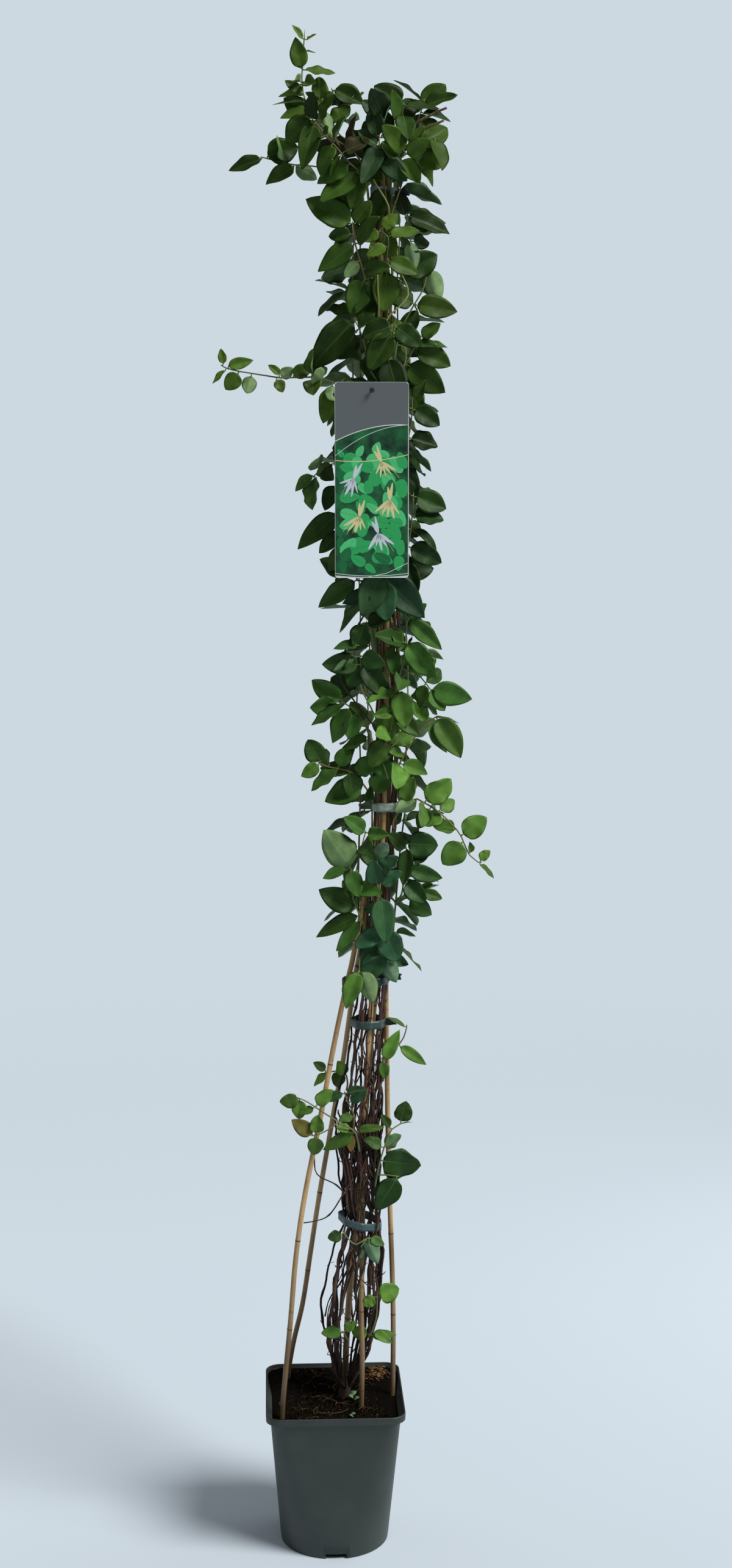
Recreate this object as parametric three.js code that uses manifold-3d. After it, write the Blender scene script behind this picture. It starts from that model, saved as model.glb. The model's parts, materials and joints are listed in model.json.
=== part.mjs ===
// A potted honeysuckle, Lonicera japonica, trained up five bamboo canes.
// Millimetres, +Z up. The origin is the middle of the pot's underside and -Y is the front.
// Every leafy stem is one solid: its stem, its side twigs and the leaves that are rooted in them.

import * as THREE from "three";
import { mergeVertices } from "three/addons/utils/BufferGeometryUtils.js";
import Module from "manifold-3d";

const wasm = await Module();
wasm.setup();

// ---------------------------------------------------------------- driving dimensions

const GAP = 0.35; // between pieces that touch
const DEGREE = Math.PI / 180;

const POT_HEIGHT = 200;
const POT_BASE_RADIUS = 71; // round foot
const POT_NECK = 84; // half width under the rim
const POT_RIM = 90; // half width of the rim
const POT_RIM_HEIGHT = 9.5;
const POT_CORNER = 20; // corner radius of the rim
const POT_WALL = 2;
const POT_FLOOR = 2.5;
const DRAIN = { width: 27, height: 7, depth: 5, overcut: 2 };
const RIM_SLOT = { depth: 8, width: 8, height: 3 };

const SOIL_TOP = 187;
const SOIL_RISE = { height: 9, from: 15, to: 72 }; // of the soil's top towards the back
const SOIL_SINK = 3; // of its edge at the pot's wall
const SOIL_SPARE = 0.455; // between the soil and the sloping wall
const CANE_RADIUS = 3.6;
const THICK_CANE_RADIUS = 4.5;
const WOOD_RADIUS = 1.9; // of one woody stem, over its thicker base
const WOOD_TIP_RADIUS = 0.9;
const TRUNK = { radius: 8, foot: 140, top: 212, sides: 7 };
const TAPE = { height: 12, thickness: 0.9, tail: 17 };
const LABEL = { width: 90, height: 236, thickness: 0.8, corner: 3.5, hole: 2.4, holeDrop: 10 };

// Middle line of the bundle of canes and stems: [height, x, y].
const BUNDLE = [
  [187, 14, 12], [225, 16, 9], [262, 19, 5], [324, 22, 2], [437, 36, 0], [555, 31, 0],
  [620, 37, 0], [697, 45, 0], [753, 50, 0], [876, 56, 0], [978, 64, 0], [1226, 67, 0],
  [1377, 59, 0], [1512, 56, 0], [1637, 59, 0], [1739, 62, 0], [1850, 60, 0],
];

// Routes of the canes, foot first, up to where they join the bundle. Above that each one
// keeps its own bearing round the middle line.
const CANES = [
  { name: "cane_front_left", bearing: 200, top: 1782, radius: CANE_RADIUS,
    foot: [[-66, -51, 132], [-69, -55, 187], [-57, -56, 325], [-50, -54, 405], [-38, -48, 485],
      [-18, -38, 582], [-1, -26, 669], [15, -13, 742], [29, -8, 805]] },
  { name: "cane_back_left", bearing: 147, top: 1768, radius: CANE_RADIUS,
    foot: [[-60, 54, 132], [-61, 58, 187], [-53, 57, 242], [-40, 54, 300], [-29, 50, 375],
      [-17, 46, 455], [0, 38, 558], [14, 28, 642], [28, 15, 749], [37, 9, 805]] },
  { name: "cane_front", bearing: 275, top: 1790, radius: CANE_RADIUS,
    foot: [[34, -24, 110], [35, -25, 187], [36, -26, 262], [35, -24, 324], [37, -14, 437],
      [38, -12, 545], [42, -11, 620], [47, -9, 697], [50, -9, 753]] },
  { name: "cane_right", bearing: 35, top: 1775, radius: CANE_RADIUS,
    foot: [[73, 0, 128], [77, 2, 187], [78, 6, 308], [74, 10, 445], [71, 12, 560],
      [69, 13, 690], [68, 12, 775]] },
  { name: "cane_middle", bearing: 0, top: 1760, radius: THICK_CANE_RADIUS,
    foot: [[13, 38, 110], [15, 33, 187], [18, 25, 274], [24, 14, 363], [36, 6, 500],
      [46, 3, 644], [54, 1, 753]] },
];
const CANE_SPREAD = 8.5; // of an outer cane from the middle line, once bundled
const CANE_JOIN = { z: 876, below: 776, spread: 1.5 }; // for canes whose own route ends early
const CANE_HEIGHTS = [978, 1226, 1377, 1512, 1637];

// The woody stems keep their bearings round the bundle, clear of the canes. A stem of the
// ring's inside takes part of the ring's radius.
const WOOD = [
  { bearing: 60, foot: 36, top: 1560 }, { bearing: 76, foot: 52, top: 1770, base: 3.2 },
  { bearing: 92, foot: 68, top: 1240 }, { bearing: 108, foot: 132, top: 1765 },
  { bearing: 125, foot: 150, top: 1480 }, { bearing: 226, foot: 205, top: 1765, base: 3.6 },
  { bearing: 248, foot: 232, top: 1620, base: 2.6 }, { bearing: 308, foot: 318, top: 1770 },
  { bearing: 320, foot: 329, top: 1350, base: 3 }, { bearing: 332, foot: 341, top: 1765 },
  { bearing: 345, foot: 353, top: 1500 }, { bearing: 359, foot: 363, top: 1765, base: 2.8 },
  { bearing: 372, foot: 380, top: 1690 }, { bearing: 272, foot: 262, top: 760 },
  { bearing: 190, foot: 190, top: 630, share: 0.62 }, { bearing: 210, foot: 214, top: 880, share: 0.75 },
  { bearing: 236, foot: 232, top: 630, share: 0.62 }, { bearing: 338, foot: 338, top: 710, share: 0.62 },
  { bearing: 352, foot: 352, top: 630, share: 0.62 }, { bearing: 176, foot: 172, top: 880 },
];
const FEET_TOP = 300; // under it a woody stem keeps the bearing of its foot
const WOOD_SWAY = 50; // degrees that a stem sways where its ring varies by its full radius
const BASE_TOP = 437; // under it some woody stems are thicker
const BASE_FLARE = 1.4; // a thick base is at its full radius from here, 1 being the soil
// Radius of the ring of stems: [height, radius, share that varies].
const WOOD_RING = [
  [200, 4, 0], [225, 16, 0.1], [262, 26, 0.1], [324, 37, 0.12], [385, 31, 0.12],
  [437, 22, 0], [495, 25, 0.1], [555, 29, 0.12], [620, 24, 0.08], [697, 18.5, 0],
  [753, 17, 0], [876, 16, 0], [978, 15.5, 0], [1226, 15.5, 0],
  [1377, 15.5, 0], [1512, 15.5, 0], [1637, 15.5, 0], [1739, 15.5, 0], [1763, 15, 0],
];
// Branches that cross from one woody stem to another: [stem, height, stem, height].
const CROSSINGS = [
  [5, 238, 15, 350], [6, 330, 13, 415], [9, 250, 7, 395], [11, 270, 8, 375], [6, 455, 13, 600],
  [13, 470, 7, 590], [5, 460, 6, 575], [7, 480, 9, 620], [2, 260, 0, 390],
];
const CROSSING_RADIUS = 1.4;
// Branches with a free end: the woody stem and height of the root, the rest of the route and
// the radii. A route may come back to a stem.
const BRANCHES = [
  { stem: 5, z: 1244, route: [[39, -25, 1222], [18, -25, 1185], [10, -25, 1157], [11, -25, 1138],
    [33, -24, 1105]], backTo: 1078, radii: [1.2, 1.1] },
  { stem: 11, z: 1749, route: [[82, -14, 1770], [96, -28, 1807], [122, -28, 1824],
    [138, -28, 1831]], radii: [2.1, 1.6] },
  { stem: 9, z: 1747, route: [[84, -26, 1776], [109, -36, 1803], [134, -36, 1815]],
    radii: [2, 1.5] },
  { stem: 5, z: 468, route: [[3, -21, 487], [-22, -21, 502], [-26, -21, 527]], radii: [1.1, 0.7] },
  { stem: 6, z: 496, route: [[9, -33, 475], [-7, -32, 451], [-22, -30, 443], [-40, -30, 440]],
    radii: [1.1, 0.7] },
];

// ---------------------------------------------------------------- leafy stems set by hand
// Each one leaves the nearest woody stem at height `from` and follows `route` ([x, y, z]).
// A leaf is [place along its stem, length, width, heading, lean, roll]: the heading is seen
// from the front (0 right, 90 up), the lean is towards the front, and the roll turns the
// upper side from facing front (0) over facing up (90) to facing back (180).

const BRIGHT = 0x47782f;
const MIDDLE = 0x33602a;
const DARK = 0x20401f;
const BLUISH = 0x2a5444;

const SPRAYS = [
  { name: "spray_leader", tone: BRIGHT, from: 1690,
    route: [[42, -8, 1772], [12, -12, 1793], [-18, -14, 1823], [-31, -12, 1851],
      [-31, -10, 1884], [-28, -10, 1924]],
    leaves: [[0.8, 38, 18, 100, 5, 0], [0.8, 38, 14, 0, 0, 50], [0.65, 26, 12, 140, 10, 30],
      [0.6, 40, 12, 180, 0, 80], [0.55, 36, 15, 195, 10, 40], [0.45, 43, 18, 190, 10, 45],
      [0.97, 22, 8, 125, 0, 20], [0.95, 15, 6, 35, 0, 60], [0.9, 13, 6, 355, 0, 60]],
    twig: { at: 0.15, route: [[24, 2, 1793], [-2, 0, 1821], [-16, 0, 1852]],
      leaves: [[0.9, 28, 20, 90, 0, 10], [0.8, 28, 17, 130, 0, 30], [0.6, 30, 19, 45, 0, 30],
        [0.85, 42, 20, 290, 25, 180]] } },
  { name: "spray_head_left", tone: MIDDLE, from: 1680,
    route: [[41, -25, 1743], [22, -34, 1763], [0, -38, 1787], [-18, -38, 1808], [-28, -36, 1819]],
    leaves: [[1, 40, 26, 225, 0, 10], [0.85, 57, 28, 255, 10, 0], [0.5, 30, 14, 240, 10, 60],
      [0.3, 61, 30, 210, 5, 30], [0.5, 36, 21, 25, 10, 20], [0.25, 40, 23, 250, 10, 10]],
    twig: { at: 0.2, route: [[11, -26, 1755], [-25, -24, 1762], [-50, -22, 1764], [-87, -20, 1773]],
      leaves: [[1, 43, 16, 195, 0, 30], [0.95, 42, 28, 20, -10, 0], [0.75, 41, 20, 210, 0, 10],
        [0.7, 32, 18, 335, 10, 180]] } },
  { name: "spray_head_left_back", tone: DARK, from: 1700,
    route: [[46, 10, 1775], [35, 12, 1802], [14, 12, 1827], [0, 10, 1860]],
    leaves: [[1, 40, 24, 335, 10, 10], [0.85, 32, 20, 145, -10, 30], [0.5, 38, 22, 35, 10, 30],
      [0.6, 53, 25, 310, 20, 20], [0.35, 35, 22, 195, -20, 40], [0.7, 42, 26, 160, -50, 30]] },
  { name: "spray_head_right", tone: MIDDLE, from: 1715,
    route: [[66, -20, 1769], [75, -16, 1799], [84, -14, 1820], [87, -14, 1839]],
    leaves: [[0.95, 40, 27, 145, 5, 10], [1, 43, 18, 0, 0, 50], [0.8, 48, 24, 295, 20, 20],
      [0.6, 34, 21, 155, 10, 30], [0.35, 38, 23, 235, 15, 10]],
    twig: { at: 0.1, route: [[88, 4, 1794], [105, 8, 1820], [114, 6, 1847]],
      leaves: [[1, 43, 13, 140, 0, 80], [0.97, 38, 24, 45, 0, 20], [0.9, 42, 20, 10, 0, 40],
        [0.8, 37, 18, 350, -5, 60], [0.7, 38, 23, 310, 5, 20], [0.5, 33, 20, 45, -20, 30]] } },
  { name: "spray_head_right_low", tone: BRIGHT, from: 1695,
    route: [[71, -12, 1752], [82, -20, 1771], [107, -22, 1787], [139, -22, 1803]],
    leaves: [[0.65, 40, 25, 335, 0, 20], [0.65, 30, 17, 60, 10, 30], [0.3, 34, 22, 270, 10, 0],
      [0.5, 36, 22, 310, 10, 10]] },
  { name: "spray_head_centre", tone: BLUISH, from: 1680,
    route: [[50, -26, 1743], [45, -34, 1769], [43, -36, 1795], [48, -32, 1822]],
    leaves: [[0.7, 66, 28, 275, 15, 0], [0.85, 34, 15, 75, 0, 70], [0.35, 40, 21, 235, 10, 10],
      [0.5, 42, 23, 300, 10, 0], [0.65, 30, 20, 140, 10, 30], [1, 30, 18, 135, 0, 30]] },
  { name: "spray_upper_left", tone: MIDDLE, from: 1600,
    route: [[43, -24, 1620], [35, -30, 1645], [26, -32, 1676], [24, -28, 1698]],
    leaves: [[1, 62, 36, 150, 0, 10], [0.7, 54, 25, 215, 0, 10], [0.55, 28, 15, 230, 10, 180],
      [0.4, 46, 28, 250, 10, 0], [0.35, 36, 19, 300, 10, 10], [0.95, 34, 21, 55, 10, 20]] },
  { name: "spray_front_curl", tone: BRIGHT, from: 1580,
    route: [[70, -30, 1631], [64, -44, 1655], [68, -48, 1669], [65, -46, 1679], [56, -40, 1687]],
    leaves: [[1, 24, 14, 205, 0, 10], [0.95, 26, 15, 45, 0, 20], [0.75, 38, 18, 15, 0, 40],
      [0.55, 28, 14, 205, 10, 20], [0.35, 40, 21, 340, 0, 20], [0.25, 49, 29, 265, 5, 0]] },
  { name: "spray_upper_right", tone: DARK, from: 1590,
    route: [[83, -6, 1633], [95, -12, 1658], [95, -14, 1687], [89, -12, 1710]],
    leaves: [[0.95, 56, 27, 340, 0, 20], [0.3, 48, 32, 30, 0, 0], [0.65, 37, 18, 280, 10, 180],
      [1, 34, 20, 130, 10, 20], [0.8, 36, 21, 40, -10, 30]] },
  { name: "spray_right_1560", tone: BRIGHT, from: 1530,
    route: [[83, -4, 1567], [98, -10, 1596], [112, -10, 1620], [119, -6, 1650]],
    leaves: [[0.95, 46, 24, 265, 0, 180], [0.6, 51, 26, 0, 0, 10], [0.55, 38, 24, 155, 10, 20],
      [0.35, 34, 19, 210, 10, 20], [0.15, 34, 20, 345, 0, 30]] },
  { name: "spray_left_1540", tone: MIDDLE, from: 1490,
    route: [[45, -20, 1518], [39, -26, 1551], [32, -30, 1571], [25, -30, 1583]],
    leaves: [[0.95, 78, 41, 225, 0, 20], [1, 36, 26, 55, 5, 0], [0.6, 42, 24, 215, -10, 20],
      [0.4, 36, 21, 285, 10, 10], [0.15, 50, 20, 205, 10, 40]] },
  { name: "spray_front_1540", tone: DARK, from: 1480,
    route: [[63, -26, 1518], [70, -38, 1550], [76, -44, 1582]],
    leaves: [[0.95, 40, 26, 200, 0, 10], [0.8, 52, 30, 240, 5, 0], [0.5, 60, 35, 285, 20, 0],
      [0.9, 40, 23, 325, 0, 10]] },
  { name: "spray_right_1520", tone: MIDDLE, from: 1465,
    route: [[83, -6, 1511], [98, -14, 1543], [109, -14, 1564]],
    leaves: [[0.8, 42, 18, 5, 0, 60], [1, 30, 16, 40, 0, 20], [0.75, 48, 26, 335, 0, 10],
      [0.5, 58, 34, 325, 0, 0], [0.3, 42, 30, 310, 10, 10]] },
  { name: "spray_left_long", tone: BRIGHT, from: 1480,
    route: [[33, -24, 1487], [11, -26, 1502], [-25, -24, 1512], [-62, -22, 1511],
      [-95, -20, 1516], [-125, -20, 1521], [-137, -20, 1527]],
    leaves: [[1, 20, 9, 100, 0, 0], [0.97, 24, 9, 220, 0, 50], [0.9, 33, 13, 15, 0, 10],
      [0.8, 26, 19, 230, 0, 0], [0.73, 24, 18, 255, 10, 180], [0.6, 20, 10, 135, 0, 30],
      [0.58, 20, 13, 35, 0, 180], [0.6, 18, 12, 300, 10, 20], [0.52, 27, 15, 25, 0, 10],
      [0.43, 26, 23, 275, 45, 0], [0.44, 25, 14, 35, -20, 30], [0.33, 25, 20, 260, 35, 180],
      [0.25, 36, 24, 325, 10, 0]] },
  { name: "spray_left_1330", tone: MIDDLE, from: 1280,
    route: [[34, -20, 1257], [20, -26, 1297], [11, -28, 1333], [8, -26, 1359], [5, -24, 1385]],
    leaves: [[0.25, 57, 26, 215, 0, 10], [0.7, 67, 28, 220, 0, 10], [0.55, 38, 18, 220, 0, 30],
      [0.45, 36, 19, 235, 0, 10], [1, 34, 18, 245, 0, 20], [0.8, 38, 22, 320, 10, 20],
      [0.35, 38, 22, 330, 10, 10]],
    twig: { at: 0.8, route: [[4, -24, 1406], [-12, -22, 1403], [-25, -20, 1390]],
      leaves: [[1, 30, 13, 220, 0, 30], [0.4, 32, 17, 45, 10, 20]] } },
  { name: "spray_right_1430", tone: DARK, from: 1380,
    route: [[79, -14, 1400], [92, -20, 1433], [97, -22, 1463], [98, -20, 1489]],
    leaves: [[1, 28, 14, 60, 0, 20], [0.9, 38, 23, 330, 0, 10], [0.55, 36, 26, 345, 0, 20],
      [0.35, 57, 24, 290, 0, 20], [0.85, 34, 20, 135, 10, 30]] },
  { name: "spray_right_1330", tone: DARK, from: 1255,
    route: [[80, -12, 1264], [93, -20, 1306], [98, -22, 1340], [100, -20, 1374]],
    leaves: [[1, 42, 27, 340, 0, 10], [0.8, 38, 26, 350, 0, 30], [0.5, 45, 25, 335, 0, 10],
      [0.4, 44, 24, 290, 10, 0], [0.25, 40, 20, 315, 0, 20], [0.95, 36, 21, 135, 10, 30],
      [0.65, 40, 16, 310, -10, 60]] },
  { name: "spray_below_label", tone: BLUISH, from: 1225,
    route: [[60, -26, 1220], [57, -38, 1251], [58, -42, 1275]],
    leaves: [[0.95, 55, 35, 245, 10, 0], [0.85, 50, 30, 280, 10, 0], [0.65, 46, 20, 195, 0, 20],
      [1, 75, 39, 315, 5, 0]] },
  { name: "spray_left_1180", tone: DARK, from: 1115,
    route: [[41, -26, 1125], [34, -34, 1161], [33, -34, 1186], [42, -30, 1216]],
    leaves: [[0.6, 42, 32, 255, 0, 0], [0.5, 51, 29, 305, 10, 0], [0.65, 37, 13, 210, 0, 180],
      [0.95, 34, 25, 250, 10, 20], [1, 36, 20, 25, 10, 30]] },
  { name: "spray_right_1180", tone: MIDDLE, from: 1115,
    route: [[76, -14, 1123], [87, -22, 1162], [90, -24, 1193], [93, -20, 1221]],
    leaves: [[0.7, 57, 34, 310, 5, 0], [0.95, 59, 26, 320, -5, 10], [0.6, 35, 11, 40, 0, 80],
      [1, 30, 18, 45, 0, 30]],
    twig: { at: 0.3, route: [[96, -18, 1152], [110, -20, 1143], [124, -20, 1125]],
      leaves: [[0.95, 53, 29, 345, 0, 0], [1, 32, 20, 310, 5, 20], [0.8, 30, 18, 255, 10, 30],
        [0.65, 30, 16, 50, 0, 30]] } },
  { name: "spray_right_1080", tone: BRIGHT, from: 1015,
    route: [[84, -12, 1034], [103, -18, 1068], [118, -20, 1086], [132, -20, 1095]],
    leaves: [[1, 32, 10, 350, 0, 80], [0.95, 58, 33, 310, 5, 0], [0.75, 44, 18, 305, 0, 20],
      [0.75, 30, 18, 125, 0, 30], [0.5, 32, 19, 190, 10, 30], [0.25, 36, 20, 340, 0, 20]] },
  { name: "spray_front_1110", tone: BRIGHT, from: 1050,
    route: [[68, -28, 1063], [75, -38, 1103], [80, -38, 1139]],
    leaves: [[0.95, 47, 27, 280, 10, 0], [0.9, 42, 20, 195, 10, 50], [0.65, 40, 22, 330, 10, 20],
      [0.35, 40, 25, 235, 10, 0]] },
  { name: "spray_left_1090", tone: MIDDLE, from: 1020,
    route: [[45, -20, 1070], [33, -26, 1096], [14, -26, 1112], [1, -24, 1113]],
    leaves: [[0.95, 34, 26, 190, 0, 0], [0.8, 50, 18, 200, 0, 50], [0.4, 30, 19, 120, 0, 20],
      [0.55, 32, 21, 250, 10, 20], [0.25, 34, 18, 205, 0, 60], [0.12, 36, 24, 310, 10, 10]] },
  { name: "spray_left_1030", tone: MIDDLE, from: 985,
    route: [[41, -16, 1004], [21, -20, 1025], [-4, -20, 1030], [-20, -20, 1037]],
    leaves: [[0.95, 32, 26, 120, 0, 0], [1, 27, 17, 210, 10, 20], [0.7, 43, 20, 215, 0, 40],
      [0.65, 30, 19, 60, 0, 20], [0.5, 34, 23, 280, 10, 20], [0.4, 30, 22, 60, 10, 30],
      [0.2, 34, 22, 35, 10, 10]] },
  { name: "spray_right_long", tone: BRIGHT, from: 950,
    route: [[76, -14, 961], [95, -18, 990], [112, -20, 986], [131, -20, 974], [150, -20, 957],
      [163, -18, 939], [168, -16, 924], [180, -15, 908], [189, -15, 907]],
    leaves: [[0.35, 43, 31, 40, 0, 0], [0.3, 32, 20, 205, 0, 180], [0.5, 32, 17, 190, 0, 40],
      [0.65, 38, 25, 35, 0, 0], [0.6, 30, 18, 170, -10, 30], [0.7, 38, 28, 230, 0, 0],
      [1, 19, 11, 45, 0, 20], [0.97, 27, 9, 320, 0, 60], [0.4, 30, 19, 235, 10, 30],
      [0.2, 34, 20, 70, 10, 20], [0.82, 15, 9, 105, 0, 20]] },
  { name: "spray_right_890", tone: DARK, from: 860,
    route: [[84, -10, 854], [89, -16, 883], [94, -20, 911], [90, -22, 936]],
    leaves: [[1, 40, 34, 355, 0, 0], [0.65, 46, 20, 345, 0, 10], [0.5, 36, 25, 315, 0, 10],
      [0.9, 48, 19, 260, 10, 20], [0.95, 30, 20, 135, 10, 20]],
    twig: { at: 0.12, route: [[94, -15, 862], [104, -16, 864], [113, -16, 874]],
      leaves: [[0.95, 28, 15, 340, 0, 10], [0.4, 36, 20, 325, 0, 10], [0.65, 22, 13, 110, 0, 20],
        [1, 18, 9, 30, 0, 30]] } },
  { name: "spray_left_870", tone: MIDDLE, from: 790,
    route: [[47, -18, 800], [37, -24, 832], [28, -26, 854], [24, -26, 872], [33, -26, 920],
      [41, -24, 951]],
    leaves: [[0.4, 61, 21, 205, 0, 30], [0.35, 51, 17, 230, 0, 20], [0.6, 26, 13, 115, 0, 20],
      [0.1, 40, 16, 190, 0, 10], [1, 34, 21, 140, 10, 30], [0.9, 36, 21, 300, 10, 10],
      [0.25, 38, 24, 305, 10, 10]],
    twig: { at: 0.62, route: [[22, -32, 903], [14, -32, 900]],
      leaves: [[0.9, 60, 38, 125, 0, 180], [1, 32, 14, 200, 0, 40], [0.6, 36, 20, 290, 20, 10]] } },
  { name: "spray_front_840", tone: BLUISH, from: 780,
    route: [[62, -28, 810], [60, -34, 843], [57, -36, 883], [54, -32, 918]],
    leaves: [[0.65, 59, 30, 275, 10, 0], [0.4, 44, 30, 295, 0, 0], [0.35, 38, 21, 210, 10, 20],
      [0.05, 34, 19, 295, 10, 180], [0.1, 34, 17, 340, 0, 20], [1, 26, 19, 65, 10, 180],
      [0.2, 38, 21, 220, 10, 30], [0.75, 32, 18, 35, 10, 20]] },
  { name: "spray_hanging_pair", tone: BRIGHT, from: 800,
    route: [[36, -30, 787], [37, -34, 767]],
    leaves: [[0.9, 43, 22, 290, 5, 180], [1, 50, 22, 260, 5, 10]] },
  { name: "spray_right_640", tone: BRIGHT, from: 620,
    route: [[73, -8, 660], [86, -10, 671], [93, -10, 687], [94, -10, 696]],
    leaves: [[1, 27, 8, 145, 0, 60], [0.45, 44, 13, 325, 0, 20]],
    twig: { at: 0.1, route: [[63, -16, 649], [60, -20, 656]],
      leaves: [[0.95, 44, 16, 65, 0, 20], [0.6, 24, 13, 285, 0, 20]] } },
  { name: "spray_left_640", tone: BRIGHT, from: 600,
    route: [[23, 20, 618], [14, 22, 628], [-8, 22, 625]],
    leaves: [[0.65, 22, 16, 250, 0, 10], [1, 20, 11, 145, 0, 20], [0.97, 25, 10, 225, 0, 30],
      [0.45, 22, 15, 115, 0, 20]] },
  { name: "spray_low_left", tone: BRIGHT, from: 535,
    route: [[27, -44, 563], [16, -50, 573], [5, -51, 580], [-15, -51, 593], [-34, -50, 606],
      [-48, -48, 612]],
    leaves: [[1, 25, 16, 187, 0, 10], [0.97, 27, 17, 270, 0, 0], [0.75, 29, 17, 45, 0, 30],
      [0.8, 21, 9, 195, 0, 30], [0.17, 45, 16, 207, 5, 20], [0.17, 35, 12, 10, 0, 40],
      [0.24, 19, 12, 165, 0, 40]],
    twig: { at: 0.5, route: [[-7, -55, 572], [-22, -56, 565], [-31, -56, 564]],
      leaves: [[1, 33, 17, 145, 0, 10], [0.92, 24, 17, 85, 0, 0], [0.97, 25, 18, 260, 0, 0]] } },
  { name: "spray_low_node", tone: BLUISH, from: 540,
    route: [[26, -33, 580], [16, -35, 602], [13, -35, 615]],
    leaves: [[1, 30, 12, 200, 0, 30], [0.97, 25, 12, 15, 0, 30], [0.6, 34, 13, 55, 0, 20],
      [0.35, 20, 12, 190, 10, 40], [0.15, 26, 11, 262, 0, 30]] },
  { name: "spray_low_right", tone: DARK, from: 485,
    route: [[58, -26, 516], [64, -28, 538], [74, -24, 561], [90, -18, 568], [101, -16, 568]],
    leaves: [[0.25, 52, 40, 350, 0, 0], [0.75, 28, 21, 75, 0, 10], [0.6, 22, 11, 120, 0, 30],
      [0.4, 27, 17, 35, -20, 170], [0.45, 27, 14, 150, 10, 30]],
    twig: { at: 0.1, route: [[68, -32, 503], [84, -33, 501]],
      leaves: [[1, 50, 27, 239, 5, 0]] } },
  { name: "spray_under_tie", tone: BLUISH, from: 407,
    route: [[43, -29, 419], [45, -31, 414]],
    leaves: [[0.6, 30, 20, 255, 0, 180], [0.95, 34, 18, 285, 0, 180], [0.7, 22, 11, 330, 0, 20]],
    twig: { at: 0.5, route: [[28, -33, 411], [18, -31, 418], [10, -28, 428]],
      leaves: [[1, 20, 16, 198, 0, 0]] } },
  { name: "spray_low_round", tone: BRIGHT, from: 280,
    route: [[52, -24, 297], [55, -28, 322], [55, -28, 347]],
    leaves: [[1, 28, 27, 10, 0, 0], [0.9, 20, 15, 220, 0, 20], [0.15, 33, 13, 5, 0, 50],
      [0.1, 22, 18, 185, 0, 10], [0.2, 28, 11, 340, 10, 40]] },
  { name: "spray_low_small", tone: MIDDLE, from: 280,
    route: [[12, -34, 292], [8, -36, 297]],
    leaves: [[0.9, 27, 15, 180, 0, 30], [0.6, 20, 12, 50, 0, 30]] },
];

// ---------------------------------------------------------------- runners set by rule
// Long leafy stems that climb the sides and the back of the bundle.
const RUNNERS = [
  { name: "runner_back_low_a", tone: MIDDLE, bearing: 22, from: 770, to: 1270, seed: 11 },
  { name: "runner_back_low_b", tone: DARK, bearing: 70, from: 800, to: 1300, seed: 12 },
  { name: "runner_back_low_c", tone: MIDDLE, bearing: 116, from: 780, to: 1290, seed: 13 },
  { name: "runner_back_low_d", tone: DARK, bearing: 168, from: 830, to: 1310, seed: 14 },
  { name: "runner_back_high_a", tone: DARK, bearing: 40, from: 1290, to: 1800, seed: 15 },
  { name: "runner_back_high_b", tone: MIDDLE, bearing: 84, from: 1320, to: 1830, seed: 16 },
  { name: "runner_back_high_c", tone: DARK, bearing: 128, from: 1300, to: 1815, seed: 17 },
  { name: "runner_back_high_d", tone: MIDDLE, bearing: 180, from: 1330, to: 1790, seed: 18 },
];
const RUNNER = { start: 19.5, reach: 30, step: 62, drift: 22, pairStep: 53, firstPair: 30 };
const RUNNER_LEAF = { length: 50, varies: 8, broad: 0.66 }; // broad is the width over the length

// Ways to turn a leaf that finds its place taken: [to the side, up, share of its length].
const LEAF_TURNS = [
  [0, 0, 1], [0.15, 0.1, 1], [-0.15, 0.1, 1], [0.15, -0.15, 1], [-0.15, -0.15, 1],
  [0, 0.3, 1], [0.35, 0.1, 0.95], [-0.35, 0.1, 0.95], [0, -0.3, 0.95], [0.35, 0.4, 0.9],
  [-0.35, 0.4, 0.9], [0.6, 0.2, 0.85], [-0.6, 0.2, 0.85], [0, 0.65, 0.85], [0.8, 0.5, 0.8],
  [-0.8, 0.5, 0.8], [0.4, -0.5, 0.8], [-0.4, -0.5, 0.8], [0, 1, 0.75], [0, -0.7, 0.75],
];
// Ways to shift a stem that would cross another piece: [x, y].
const STEM_SHIFTS = [
  [0, 0], [0, -4], [0, 4], [4, 0], [-4, 0], [4, -4], [-4, -4], [0, -8], [4, 4], [-4, 4],
  [8, 0], [-8, 0], [0, 8], [8, -8], [-8, -8], [0, -13], [8, 8], [-8, 8], [13, 0], [-13, 0],
];

// ---------------------------------------------------------------- leaves that fill in by rule
// Outline of the foliage seen from the front: [height, left, right].
const OUTLINE = [
  [780, 8, 78], [807, 0, 110], [839, -20, 122], [878, -9, 140], [957, -5, 150], [996, -18, 155],
  [1035, -40, 150], [1073, -38, 165], [1112, -36, 165], [1150, -32, 148], [1196, 0, 137],
  [1226, 24, 118], [1264, -10, 125], [1302, -25, 135], [1377, -40, 134], [1437, -22, 125],
  [1489, -15, 124], [1526, -32, 148], [1555, -28, 145], [1599, -20, 152], [1636, -3, 124],
  [1672, -16, 136], [1715, -26, 140], [1744, -28, 114], [1766, -60, 136], [1801, -72, 142],
  [1830, -66, 145], [1859, -60, 140], [1864, 0, 0],
];
const OUTLINE_DEPTH = 0.42; // half depth of the foliage as a share of its width
const HIDDEN_HALF = 14; // half width of the canes and stems, which hide what is behind them
const CELL = 6;
const FRONT_WORTH = 1.5;
const STRIP_WORTH = 3; // in front of the canes and stems
const SIDE_WORTH = 0.35;
const SECOND_WORTH = 0.6;
const HEAD_FROM = 1735;
const INFILL_FROM = 790; // lowest joint that gets more leaves
const INFILL_LIMIT = 128;
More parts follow.
